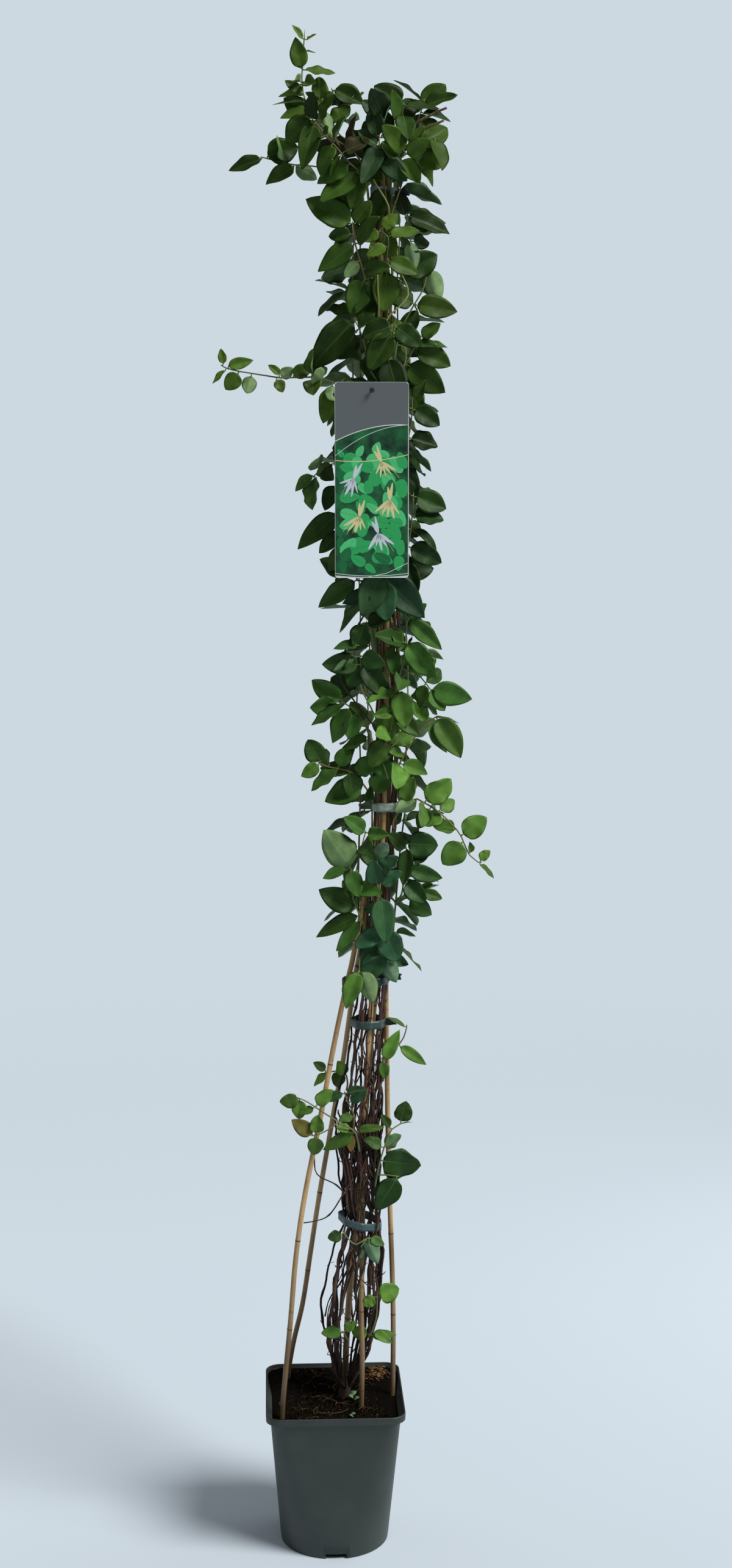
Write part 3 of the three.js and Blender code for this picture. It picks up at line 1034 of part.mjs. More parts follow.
/** Adds a stem with its grown leaves and twig to a mesh; it starts from a loop or a cap. */
function addStem(mesh, stem, startLoop = null) {
  const { frames, end } = stemFrames(stem);
  const first = frames[0].ring;
  if (startLoop) mesh.zip(startLoop, first);
  else mesh.triangle(first[0], first[2], first[1]);
  for (let i = 0; i + 1 < frames.length; i += 1) {
    const [low, high] = [frames[i].ring, frames[i + 1].ring];
    const joint = stem.joints.find(({ arc }) => Math.abs(arc - JOINT_HALF - frames[i].arc) < 1e-6);
    for (let k = 0; k < 3; k += 1) {
      const n = (k + 1) % 3;
      const member = joint?.members.find((one) => one.facetIndex === k && (one.grown || one.stem));
      if (!member) {
        mesh.triangle(low[k], low[n], high[n]);
        mesh.triangle(low[k], high[n], high[k]);
        continue;
      }
      const loop = [low[k], low[n], high[n], high[k]];
      if (member.stem) {
        addStem(mesh, member.stem, loop);
        continue;
      }
      const rings = leafRings(member.grown);
      mesh.zip(loop, rings[0]);
      addBlade(mesh, rings);
    }
  }
  const last = frames[frames.length - 1].ring;
  for (let k = 0; k < 3; k += 1) mesh.triangle(last[k], last[(k + 1) % 3], end);
}

/** Start of a leafy stem: just off the woody stem that is nearest to its first point. */
function rootOn(woods, z, target) {
  const options = woods
    .filter((route) => route[route.length - 1].z > z + 5)
    .map((route) => {
      const wood = pointAtHeight(route, z);
      const centre = vec(...lookUp(BUNDLE, z), z);
      const outward = wood.clone().sub(centre).setZ(0).normalize();
      const start = wood.clone().addScaledVector(outward, WOOD_RADIUS + GAP + STEM_RADII[0]);
      return { start, outward, distance: start.distanceTo(target) };
    });
  return options.reduce((best, option) => (option.distance < best.distance ? option : best));
}

function shiftedRoute(points, [x, y]) {
  return points.map((point) => point.clone().add(vec(x, y, 0)));
}

/** Stems of one spray for one shift: its main stem and its twig, as polylines. */
function sprayRoutes(spray, woods, shift) {
  const free = shiftedRoute(spray.route.map((point) => vec(...point)), shift);
  const root = rootOn(woods, spray.from, free[0]);
  const main = smoothPoints([root.start, ...free], 2);
  const routes = [main];
  if (spray.twig) {
    const twig = shiftedRoute(spray.twig.route.map((point) => vec(...point)), shift);
    routes.push(smoothPoints([along(main, spray.twig.at), ...twig], 2));
  }
  return { routes, inward: root.outward.clone().negate() };
}

function runnerRoutes(runner, woods, shift) {
  const random = seeded(runner.seed);
  const points = [];
  for (let z = runner.from + RUNNER.step / 2; z <= runner.to; z += RUNNER.step) {
    const share = (z - runner.from) / (runner.to - runner.from);
    const radius = RUNNER.start + 2 + (RUNNER.reach - RUNNER.start) * Math.sin(share * 2.2);
    const bearing = runner.bearing + RUNNER.drift * (share - 0.3) + (random() - 0.5) * 12;
    points.push(bundlePoint(z, radius + random() * 4, bearing));
  }
  const free = shiftedRoute(points, shift);
  const root = rootOn(woods, runner.from, free[0]);
  return { routes: [smoothPoints([root.start, ...free], 1)], inward: root.outward.clone().negate() };
}

/** Pairs of leaves up a runner: by turns spread to both sides, and one out and one down. */
function runnerLeaves(runner, points) {
  const random = seeded(runner.seed + 50);
  const leaves = [];
  const arcs = arcsOf(points);
  const total = arcs[arcs.length - 1];
  const vary = (size) => (random() - 0.5) * 2 * size;
  for (let arc = RUNNER.firstPair, pair = 0; arc < total; arc += RUNNER.pairStep, pair += 1) {
    const base = atArc(points, arcs, arc);
    const index = arcs.findIndex((value) => value >= arc);
    const place = (index - 1 + (arc - arcs[index - 1]) / (arcs[index] - arcs[index - 1]))
      / (points.length - 1);
    const out = base.clone().sub(vec(...lookUp(BUNDLE, base.z), base.z)).normalize();
    const side = UP.clone().cross(out);
    const spread = pair % 2 === 0;
    for (const hand of [1, -1]) {
      const parts = spread ? [0.55, 0.8 * hand, -0.5] : [0.8, 0.35 * hand, -0.35 - 0.5 * hand];
      const direction = out.clone().multiplyScalar(parts[0] + vary(0.2))
        .addScaledVector(side, parts[1] + vary(0.25))
        .addScaledVector(UP, parts[2] + vary(0.3))
        .normalize();
      const facing = UP.clone().multiplyScalar(0.8)
        .addScaledVector(out, 0.6)
        .addScaledVector(side, vary(0.5));
      const normal = facing.addScaledVector(direction, -facing.dot(direction)).normalize();
      const length = RUNNER_LEAF.length + vary(RUNNER_LEAF.varies);
      const width = length * (RUNNER_LEAF.broad + vary(0.06));
      leaves.push({ place, direction, normal, length, width });
    }
  }
  return leaves;
}

const twigRadii = (at) => {
  const radius = STEM_RADII[0] + (STEM_RADII[1] - STEM_RADII[0]) * at;
  return [radius * 0.9, STEM_RADII[1] * 0.9];
};

/** Main stem and twig of a plant with their joints; their leaves have yet to grow. */
function makeStems(row, routes, inward) {
  const [points, twigPoints] = routes;
  const leaves = row.leaves ? row.leaves.map(leafFromRow) : runnerLeaves(row, points);
  const stems = [{ points, radii: STEM_RADII, toward: inward, startArc: 0, members: leaves }];
  if (twigPoints) {
    const radii = twigRadii(row.twig.at);
    const members = row.twig.leaves.map(leafFromRow);
    const twig = { points: twigPoints, radii, toward: FRONT, startArc: STEM_RADII[0] + 2, members };
    const direction = twigPoints[1].clone().sub(twigPoints[0]).normalize();
    stems[0].members = [...leaves, { place: row.twig.at, direction, stem: twig }];
    stems.push(twig);
  }
  for (const stem of stems) {
    stem.joints = findJoints(stem.points, stem.members);
    shareFacets(stem);
  }
  return stems;
}

function plantSolid(stems) {
  const mesh = meshCollector();
  addStem(mesh, stems[0]);
  return meshSolid(mesh);
}

/** A stem that is GAP thicker all round, from past its root to its tip. */
function roomyStem({ points, radii, toward }) {
  const last = points.length - 1;
  const sizes = points.map((_, i) => radii[0] + ((radii[1] - radii[0]) * i) / last + GAP);
  return solidOf(tube(points.slice(1), sizes.slice(1), 4, toward));
}

const plants = []; // leafy stems once their routes are settled
const covered = new Map(); // how many blades cover each cell of the four side views

/** Settles a plant's stems on the first of STEM_SHIFTS that is clear of everything. */
function settle(row, makeRoutes) {
  for (const shift of STEM_SHIFTS) {
    const { routes, inward } = makeRoutes(shift);
    const stems = makeStems(row, routes, inward);
    const bare = plantSolid(stems);
    if (isClear(row.name, bare) && stems.every((stem) => isClear(row.name, roomyStem(stem)))) {
      occupy(row.name, bare);
      plants.push({ name: row.name, tone: row.tone, stems });
      return;
    }
  }
  throw new Error(`no clear way for ${row.name}`);
}

/** Grows a leaf on its stem where that is clear of all else. */
function grow(name, leaf, tried) {
  if (tried.direction.dot(tried.facet) < LEAST_OUTWARD) return false;
  const blade = bladeSolid(tried);
  const stalkHalves = [JOINT_HALF + GAP, STALK_HALF + GAP];
  const stalk = solidOf(tube([tried.base, stalkEnd(tried)], stalkHalves, 4, tried.normal));
  if (!isClear(name, stalk)) return false;
  if (!isClear(name, bladeSolid(tried, GAP), blade)) return false;
  occupy(name, blade);
  occupy(name, stalk, true);
  leaf.grown = tried;
  for (const cell of cellsOf(tried).keys()) covered.set(cell, (covered.get(cell) ?? 0) + 1);
  return true;
}

/** Each leaf takes the first of its turns that is clear; one that has none is left out. */
function growLeaves({ name, stems }) {
  for (const leaf of stems.flatMap((stem) => stem.members).filter((member) => !member.stem)) {
    LEAF_TURNS.some((turn) => grow(name, leaf, turnedLeaf(leaf, turn)));
  }
}

/** Cells of the side views that a leaf covers inside the foliage's outline, with their worth. */
function cellsOf(leaf) {
  const across = leaf.direction.clone().cross(leaf.normal);
  const start = stalkEnd(leaf);
  const cells = new Map();
  for (let along = 0.08; along < 1; along += 0.1) {
    const half = (leaf.width / 2) * Math.min(1, 2.4 * Math.min(along, 1 - along));
    for (let side = -0.9; side < 1; side += 0.3) {
      const point = start.clone()
        .addScaledVector(leaf.direction, along * leaf.length)
        .addScaledVector(leaf.normal, -LEAF_DROOP * leaf.length * along * along)
        .addScaledVector(across, side * half);
      const [left, right] = lookUp(OUTLINE, point.z);
      const [middleX, middleY] = lookUp(BUNDLE, point.z);
      const [x, y] = [point.x - middleX, point.y - middleY];
      const inWidth = point.x > left && point.x < right;
      const inDepth = Math.abs(y) < OUTLINE_DEPTH * (right - left);
      const besideX = Math.abs(x) > HIDDEN_HALF;
      const besideY = Math.abs(y) > HIDDEN_HALF;
      const mark = (view, place, worth) =>
        cells.set(`${view} ${Math.floor(place / CELL)} ${Math.floor(point.z / CELL)}`, worth);
      if (inWidth && (besideX || y < 0)) mark("front", point.x, besideX ? FRONT_WORTH : STRIP_WORTH);
      if (inWidth && (besideX || y > 0)) mark("back", point.x, SIDE_WORTH);
      if (inDepth && (besideY || x > 0)) mark("right", point.y, SIDE_WORTH);
      if (inDepth && (besideY || x < 0)) mark("left", point.y, SIDE_WORTH);
    }
  }
  return cells;
}

/** What a leaf would newly cover; in the head a second blade over a cell counts too. */
function worthOf(leaf) {
  let total = 0;
  const inHead = leaf.base.z > HEAD_FROM;
  for (const [cell, worth] of cellsOf(leaf)) {
    const blades = covered.get(cell) ?? 0;
    if (blades === 0) total += worth;
    else if (blades === 1 && inHead) total += worth * SECOND_WORTH;
  }
  return (total * CELL * CELL) / (leaf.length * leaf.width);
}

/** Adds joints without leaves on the bare stretches of a stem. */
function addSpareJoints(stem) {
  const total = arcsOf(stem.points).at(-1);
  const arcs = [...stem.joints.map(({ arc }) => arc), total - TIP_FREE];
  for (let i = 0; i + 1 < arcs.length; i += 1) {
    const count = Math.floor((arcs[i + 1] - arcs[i]) / SPARE_SPACING);
    for (let k = 1; k <= count; k += 1) {
      const arc = arcs[i] + ((arcs[i + 1] - arcs[i]) * k) / (count + 1);
      stem.joints.push({ arc, members: [], spare: true });
    }
  }
  stem.joints.sort((a, b) => a.arc - b.arc);
}

/** Leaves that could grow on the free facets of a plant's joints. */
function infillChoices({ name, stems }) {
  const random = seeded(name.length * 31 + name.charCodeAt(name.length - 2));
  const vary = (size) => (random() - 0.5) * 2 * size;
  const choices = [];
  for (const stem of stems) {
    for (const joint of stem.joints) {
      const frame = stemFrame(stem, joint.arc);
      if (frame.centre.z < INFILL_FROM) continue;
      const outward = frame.centre.clone().setZ(0);
      outward.sub(vec(...lookUp(BUNDLE, frame.centre.z), 0)).normalize();
      frame.facets.forEach((facet, facetIndex) => {
        for (const [length, ...parts] of INFILL_WAYS) {
          const size = length * (1 + vary(0.08));
          const direction = facet.clone().multiplyScalar(0.6)
            .addScaledVector(outward, parts[0] + vary(0.15))
            .addScaledVector(UP, parts[1] + vary(0.2))
            .addScaledVector(UP.clone().cross(outward), parts[2] + vary(0.2))
            .normalize();
          if (direction.dot(facet) < 0.15) continue;
          const facing = outward.clone().multiplyScalar(0.8)
            .addScaledVector(FRONT, 0.3 + vary(0.3))
            .addScaledVector(UP, 0.5 + vary(0.4));
          const normal = facing.addScaledVector(direction, -facing.dot(direction)).normalize();
          const width = size * (INFILL_BROAD + vary(0.07));
          const leaf = { direction, normal, length: size, width, base: frame.centre, facetIndex,
            facet, stemRadius: frame.radius };
          choices.push({ name, joint, leaf });
        }
      });
    }
  }
  return choices;
}

/** Fills what the set leaves have left bare, the worthiest places first. */
function infill() {
  plants.forEach(({ stems }) => stems.forEach(addSpareJoints));
  let choices = plants.flatMap(infillChoices);
  let count = 0;
  for (const least of INFILL_WORTHS) {
    choices = choices.filter(({ leaf }) => worthOf(leaf) >= INFILL_WORTHS.at(-1));
    for (const { name, joint, leaf } of choices) {
      const taken = joint.members.some((one) =>
        one.facetIndex === leaf.facetIndex && (one.grown || one.stem));
      if (taken || count >= INFILL_LIMIT || worthOf(leaf) < least) continue;
      const member = { facetIndex: leaf.facetIndex };
      if (!grow(name, member, leaf)) continue;
      joint.members.push(member);
      count += 1;
    }
  }
  for (const stem of plants.flatMap(({ stems }) => stems)) {
    stem.joints = stem.joints.filter(({ spare, members }) => !spare || members.length > 0);
  }
}

// ---------------------------------------------------------------- putting it together

const caneRoutes = CANES.map(caneRoute);
const woodRoutes = WOOD.map(woodRoute);

const caneSolid = (index, spare = 0) => {
  const points = smoothPoints(caneRoutes[index], 1);
  return solidOf(tube(points, points.map(() => CANES[index].radius + spare), 6, vec(1, 0, 0)));
};
const canes = CANES.map((_, index) => caneSolid(index));
const wood = [
  ...woodRoutes.map(makeWoodStem), ...CROSSINGS.map(makeCrossing), ...BRANCHES.map(makeBranch),
].reduce((whole, piece) => whole.add(piece), makeTrunk());
const pot = makePot();
const soil = makeSoil([...CANES.map((_, index) => caneSolid(index, GAP)), makeTrunk(GAP)]);

place("pot", pot, 0x4a5558, 0.45);
place("soil", soil, 0x2b211b, 0.95);
CANES.forEach((cane, index) => place(cane.name, canes[index], 0xb28a58, 0.55));
place("woody_stems", wood, 0x2f2018, 0.85);
occupy("pot", pot);
occupy("soil", soil);
CANES.forEach((cane, index) => occupy(cane.name, canes[index]));
occupy("woody_stems", wood);

const heldStems = woodRoutes.map((route) => ({ route, radius: WOOD_RADIUS }));
const heldCanes = caneRoutes.map((route, index) => ({ route, radius: CANES[index].radius }));
const reaching = (z, held) => held.filter(({ route }) => route.at(-1).z > z - TAPE.height);
const TIES = [
  { name: "tie_low", z: 432, slope: -0.22, held: [...heldStems, heldCanes[2], heldCanes[4]], tail: 0 },
  { name: "tie_stems", z: 697, held: [...heldStems, heldCanes[2], heldCanes[4]], tail: 1 },
  { name: "tie_canes", z: 753, held: [...heldStems, ...heldCanes], tail: 1 },
  { name: "tie_middle", z: 978, held: [...heldStems, ...heldCanes], tail: 1 },
  { name: "tie_top", z: 1735, held: [...heldStems, ...heldCanes], tail: 1 },
];
for (const tie of TIES) {
  const solid = makeTie({ ...tie, held: reaching(tie.z, tie.held) });
  place(tie.name, solid, 0x5c7466, 0.3);
  occupy(tie.name, solid);
}

const label = solidOf(makeLabel());
place("label", label, 0x3f9b58, 0.35);
occupy("label", label);
const hanger = makeHanger(woodRoutes[6]);
place("label_hanger", hanger, 0x2c3234, 0.4);
occupy("label_hanger", hanger);

for (const spray of SPRAYS) settle(spray, (shift) => sprayRoutes(spray, woodRoutes, shift));
for (const runner of RUNNERS) settle(runner, (shift) => runnerRoutes(runner, woodRoutes, shift));
const { left, right, front, back, low, high } = TIE_ROOM;
const tieRoom = box(right - left, back - front, high - low,
  (left + right) / 2, (front + back) / 2, (low + high) / 2);
occupy("room before tie_top", tieRoom);
plants.forEach(growLeaves);
infill();
for (const { name, tone, stems } of plants) place(name, plantSolid(stems), tone, 0.45);

export default vine;
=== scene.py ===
"""Looks of the potted honeysuckle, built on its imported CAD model. Metres, +Z up, front towards -Y.

Every plant piece is read from the CAD mesh that it replaces: a leaf from its rings, a stem from
the rings along it. So each fine piece lies where its solid lies.
"""
import json
import math
import random

import bmesh
import bpy
import numpy as np
from mathutils import Matrix, Vector
from mathutils.bvhtree import BVHTree


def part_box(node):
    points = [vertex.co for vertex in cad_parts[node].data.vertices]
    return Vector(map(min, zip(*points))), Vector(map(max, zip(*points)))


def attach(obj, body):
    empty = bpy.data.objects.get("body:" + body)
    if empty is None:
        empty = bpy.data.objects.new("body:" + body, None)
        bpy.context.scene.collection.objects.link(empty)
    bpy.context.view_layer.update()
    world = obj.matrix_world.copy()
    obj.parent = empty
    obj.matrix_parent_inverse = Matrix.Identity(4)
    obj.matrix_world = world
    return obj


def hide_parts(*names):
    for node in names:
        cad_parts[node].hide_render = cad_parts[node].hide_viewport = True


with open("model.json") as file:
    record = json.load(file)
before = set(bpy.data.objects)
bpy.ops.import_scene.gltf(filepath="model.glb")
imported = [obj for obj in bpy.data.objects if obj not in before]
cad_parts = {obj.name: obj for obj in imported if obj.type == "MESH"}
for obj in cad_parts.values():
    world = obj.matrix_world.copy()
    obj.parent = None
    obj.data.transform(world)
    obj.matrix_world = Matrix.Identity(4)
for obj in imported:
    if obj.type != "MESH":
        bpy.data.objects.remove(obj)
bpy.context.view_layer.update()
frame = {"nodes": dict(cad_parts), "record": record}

MM = 0.001
NODES = frame["nodes"]
RECORD = frame["record"]
SLOT_OF = {row["node"]: row["material_slot"] for row in RECORD["subparts"]}

UP = Vector((0, 0, 1))
WELD = 0.005 * MM
STALK_EDGE = 2.4 * MM  # rings with all edges under this are stalks and stem tips

POT_FOOT = 71 * MM  # half widths of the pot
POT_NECK = 84 * MM
POT_RIM = 90 * MM
POT_RIM_HEIGHT = 9.5 * MM
POT_CORNER = 20 * MM
POT_WALL = 2 * MM
POT_HEIGHT = 200 * MM
NECK_HEIGHT = POT_HEIGHT - POT_RIM_HEIGHT
SOIL_TOP = 187 * MM
SOIL_INSET = POT_WALL + 0.5 * MM

VEIN_PAIRS = 4.5  # along a leaf, in its form and in its colour
PLAIN = (1, 1, 1)  # tint of a face that has only its material's colour


def clamp(value):
    return max(0.0, min(1.0, value))


# ------------------------------------------------------------------ materials

def new_material(name, color, roughness, specular=0.5):
    material = bpy.data.materials.new(name)
    material.use_nodes = True
    shader = material.node_tree.nodes["Principled BSDF"]
    shader.inputs["Base Color"].default_value = (*color, 1)
    shader.inputs["Roughness"].default_value = roughness
    shader.inputs["Specular IOR Level"].default_value = specular
    return material


class Graph:
    """Short hand for a material's nodes."""

    def __init__(self, material):
        self.tree = material.node_tree
        self.shader = self.tree.nodes["Principled BSDF"]

    def node(self, kind, **settings):
        made = self.tree.nodes.new(kind)
        for key, value in settings.items():
            setattr(made, key, value)
        return made

    def link(self, source, target):
        self.tree.links.new(source, target)

    def put(self, socket, value):
        if isinstance(value, bpy.types.NodeSocket):
            self.link(value, socket)
        else:
            socket.default_value = value

    def math(self, operation, a, b=0.0):
        made = self.node("ShaderNodeMath", operation=operation)
        self.put(made.inputs[0], a)
        self.put(made.inputs[1], b)
        return made.outputs[0]

    def ramp(self, value, low, high):
        made = self.node("ShaderNodeMapRange")
        self.put(made.inputs["Value"], value)
        made.inputs["From Min"].default_value = low
        made.inputs["From Max"].default_value = high
        return made.outputs["Result"]

    def mix(self, share, a, b, blend="MIX"):
        made = self.node("ShaderNodeMix", data_type="RGBA", blend_type=blend)
        self.put(made.inputs[0], share)
        for socket, value in ((made.inputs[6], a), (made.inputs[7], b)):
            self.put(socket, (*value, 1) if isinstance(value, tuple) else value)
        return made.outputs[2]

    def noise(self, scale, detail=3.0, coordinates=None, stretch=None):
        made = self.node("ShaderNodeTexNoise")
        made.inputs["Scale"].default_value = scale
        made.inputs["Detail"].default_value = detail
        source = coordinates or self.place()
        if stretch:
            mapping = self.node("ShaderNodeMapping")
            mapping.inputs["Scale"].default_value = stretch
            self.link(source, mapping.inputs["Vector"])
            source = mapping.outputs["Vector"]
        self.link(source, made.inputs["Vector"])
        return made.outputs["Fac"]

    def place(self):
        return self.node("ShaderNodeTexCoord").outputs["Object"]

    def height(self):
        parts = self.node("ShaderNodeSeparateXYZ")
        self.link(self.place(), parts.inputs[0])
        return parts.outputs["Z"]

    def tint(self):
        return self.node("ShaderNodeVertexColor", layer_name="Tint").outputs["Color"]

    def times(self, a, b):
        """Product of two colours."""
        return self.mix(1.0, a, b, "MULTIPLY")

    def uv(self):
        parts = self.node("ShaderNodeSeparateXYZ")
        self.link(self.node("ShaderNodeUVMap", uv_map="UVMap").outputs["UV"], parts.inputs[0])
        return parts.outputs["X"], parts.outputs["Y"]

    def color(self, value):
        self.link(value, self.shader.inputs["Base Color"])

    def bump(self, height, strength, distance):
        made = self.node("ShaderNodeBump")
        made.inputs["Strength"].default_value = strength
        made.inputs["Distance"].default_value = distance
        self.link(height, made.inputs["Height"])
        self.link(made.outputs["Normal"], self.shader.inputs["Normal"])


def leaf_material(name, vein_color, midrib_share, side_share, roughness):
    """Leaf side: a tint of its own for each leaf, a pale midrib and faint side veins."""
    material = new_material(name, (0.05, 0.15, 0.03), roughness, 0.16)
    graph = Graph(material)
    across, along = graph.uv()
    off_midrib = graph.math("ABSOLUTE", graph.math("SUBTRACT", across, 0.5))
    midrib = graph.math("MULTIPLY", graph.ramp(off_midrib, 0.022, 0.006), graph.ramp(along, 1.1, 0.2))
    slant = graph.math("SUBTRACT", graph.math("MULTIPLY", along, VEIN_PAIRS),
                       graph.math("MULTIPLY", off_midrib, 3.6))
    ripple = graph.math("ABSOLUTE", graph.math("SUBTRACT", graph.math("FRACT", slant), 0.5))
    side_vein = graph.ramp(ripple, 0.06, 0.0)
    mottle = graph.noise(70, 4)
    shaded = graph.times(graph.tint(), graph.mix(graph.ramp(mottle, 0.3, 0.75), (0.74,) * 3, (1.24,) * 3))
    veined = graph.mix(graph.math("MULTIPLY", side_vein, side_share), shaded, vein_color)
    graph.color(graph.mix(graph.math("MULTIPLY", midrib, midrib_share), veined, vein_color))
    relief = graph.math("SUBTRACT", graph.math("MULTIPLY", mottle, 0.6),
                        graph.math("MULTIPLY", side_vein, 0.5))
    graph.bump(relief, 0.3, 0.0006)
    return material


def stem_material():
    material = new_material("green_stem", (0.12, 0.16, 0.05), 0.5)
    graph = Graph(material)
    patches = graph.ramp(graph.noise(60, 3), 0.45, 0.8)
    graph.color(graph.mix(patches, graph.tint(), graph.times(graph.tint(), (1.35, 0.8, 0.7))))
    return material


def bark_material():
    """Near black at the foot, reddish brown higher, and olive up in the leaves."""
    material = new_material("bark", (0.04, 0.025, 0.018), 0.8, 0.3)
    graph = Graph(material)
    height = graph.height()
    streaks = graph.noise(420, 5, stretch=(1, 1, 0.12))
    patches = graph.ramp(graph.noise(30, 3), 0.42, 0.72)
    upward = graph.math("MULTIPLY", graph.ramp(height, 0.56, 0.70), 0.6)
    dark = graph.mix(streaks, (0.005, 0.004, 0.0035), (0.040, 0.024, 0.017))
    warm = graph.mix(streaks, (0.024, 0.011, 0.008), (0.16, 0.078, 0.055))
    olive = graph.mix(streaks, (0.035, 0.04, 0.014), (0.19, 0.17, 0.07))
    low = graph.mix(graph.math("MAXIMUM", patches, upward), dark, warm)
    high = graph.mix(graph.ramp(graph.noise(26, 3), 0.35, 0.6), low, olive)
    graph.color(graph.times(graph.mix(graph.ramp(height, 0.85, 1.35), low, high), graph.tint()))
    graph.bump(streaks, 0.7, 0.0012)
    return material


def bamboo_material():
    """Golden tan with brown and grey patches, dirty at the foot, and darkened among the leaves by painted
    shade.
    """
    material = new_material("bamboo_skin", (0.4, 0.25, 0.12), 0.45, 0.45)
    graph = Graph(material)
    streaks = graph.noise(300, 4, stretch=(1, 1, 0.03))
    patches = graph.ramp(graph.noise(15, 5, stretch=(1, 1, 0.45)), 0.5, 0.7)
    tan = graph.mix(streaks, (0.36, 0.215, 0.085), (0.60, 0.42, 0.20))
    brown = graph.mix(streaks, (0.10, 0.056, 0.028), (0.30, 0.185, 0.09))
    specks = graph.math("MULTIPLY", graph.ramp(graph.noise(170, 3), 0.62, 0.70), 0.5)
    body = graph.mix(specks, graph.mix(patches, tan, brown), (0.09, 0.055, 0.03))
    _, along = graph.uv()
    body = graph.mix(graph.ramp(along, 0.02, 0.2), (0.05, 0.03, 0.018), body)
    # painted shade: from 1.0 m up, where the leaves shade the cane, its colour is darkened
    painted_foliage_shade = graph.ramp(graph.height(), 1.0, 1.3)
    graph.color(graph.mix(painted_foliage_shade, body, graph.times(body, (0.42, 0.46, 0.40))))
    graph.bump(streaks, 0.25, 0.0005)
    return material


def pot_material():
    """Black green plastic with a little dust."""
    skin = (0.018, 0.027, 0.023)
    material = new_material("pot_plastic", skin, 0.5, 0.55)
    graph = Graph(material)
    dust = graph.math("MULTIPLY", graph.ramp(graph.noise(22, 5), 0.42, 0.8), 0.35)
    graph.color(graph.mix(dust, skin, (0.046, 0.06, 0.054)))
    graph.bump(graph.noise(900, 2), 0.08, 0.0003)
    return material


def soil_material():
    """Nearly black compost; its crumbs and fibres carry tints of their own."""
    material = new_material("potting_soil", (0.03, 0.02, 0.014), 0.95, 0.04)
    graph = Graph(material)
    grains = graph.noise(320, 6)
    body = graph.mix(grains, (0.0007, 0.0005, 0.0004), (0.008, 0.006, 0.004))
    graph.color(graph.times(body, graph.tint()))
    graph.bump(grains, 0.9, 0.003)
    return material


def tape_material(name, color, roughness):
    material = new_material(name, color, roughness, 0.3)
    graph = Graph(material)
    creases = graph.noise(240, 4, stretch=(1, 1, 0.35))
    brighter = tuple(min(1, 1.6 * part) for part in color)
    graph.color(graph.mix(graph.ramp(creases, 0.35, 0.7), color, brighter))
    graph.bump(creases, 0.6, 0.001)
    return material


LEAF_TOP = leaf_material("leaf_top", (0.13, 0.24, 0.06), 0.36, 0.06, 0.46)
LEAF_UNDER = leaf_material("leaf_underside", (0.24, 0.34, 0.17), 0.6, 0.2, 0.45)
GREEN_STEM = stem_material()
BARK = bark_material()
BAMBOO = bamboo_material()
BAMBOO_RING = new_material("bamboo_ring", (0.10, 0.055, 0.03), 0.65, 0.3)
POT_PLASTIC = pot_material()
SOIL = soil_material()


# ------------------------------------------------------------------ reading the CAD meshes

def welded(node):
    """The node's mesh with its doubled corners joined: points and the neighbours of each."""
    mesh = bmesh.new()
    mesh.from_mesh(NODES[node].data)
    bmesh.ops.remove_doubles(mesh, verts=mesh.verts, dist=WELD)
    mesh.verts.ensure_lookup_table()
    points = [vertex.co.copy() for vertex in mesh.verts]
    neighbours = [{edge.other_vert(vertex).index for edge in vertex.link_edges}
                  for vertex in mesh.verts]
    mesh.free()
    return points, neighbours


def longest_edge(points, ring):
    a, b, c = (points[index] for index in ring)
    return max((a - b).length, (b - c).length, (c - a).length)


def ring_size(points, ring):
    """Middle and mean radius of a ring."""
    corners = [points[index] for index in ring]
    centre = sum(corners, Vector()) / len(corners)
    return centre, sum((corner - centre).length for corner in corners) / len(corners)


def beyond(neighbours, ring, seen):
    """Vertices next to a ring that haven't been seen yet."""
    found = set()
    for index in ring:
        found |= neighbours[index]
    return found - set(ring) - seen


def split_ring(points, ring):
    """Left, keel and right corner of a leaf's ring: the keel is opposite the longest edge."""
    best = None
    for keel in ring:
        left, right = (index for index in ring if index != keel)
        width = (points[left] - points[right]).length
        if best is None or width > best[0]:
            best = (width, left, keel, right)
    _, left, keel, right = best
    return points[left], points[keel], points[right]


def read_leaf(points, neighbours, tip):
    """Leaf whose sharp end is at vertex `tip`: its frame, its size and its vertices."""
    used = {tip}
    ring = sorted(neighbours[tip])
    widest = 0.0
    while True:
        used |= set(ring)
        if longest_edge(points, ring) < STALK_EDGE:
            break
        left, keel, right = split_ring(points, ring)
        if (left - right).length > widest:
            widest = (left - right).length
            middle = (left + right) / 2
            across = (left - right).normalized()
            normal = (middle - keel).normalized()
        following = beyond(neighbours, ring, used)
        if len(following) != 3:
            return None
        ring = sorted(following)
    left, _, right = split_ring(points, ring)
    start = (left + right) / 2
    end = points[tip]
    chord = end - start
    across = (across - across.dot(chord) * chord / chord.length_squared).normalized()
    facing = chord.normalized().cross(across)
    if facing.dot(normal) < 0:
        across = -across
        facing = -facing
    return {"start": start, "tip": end, "across": across, "normal": facing, "middle": middle,
            "length": chord.length, "width": widest, "used": used}


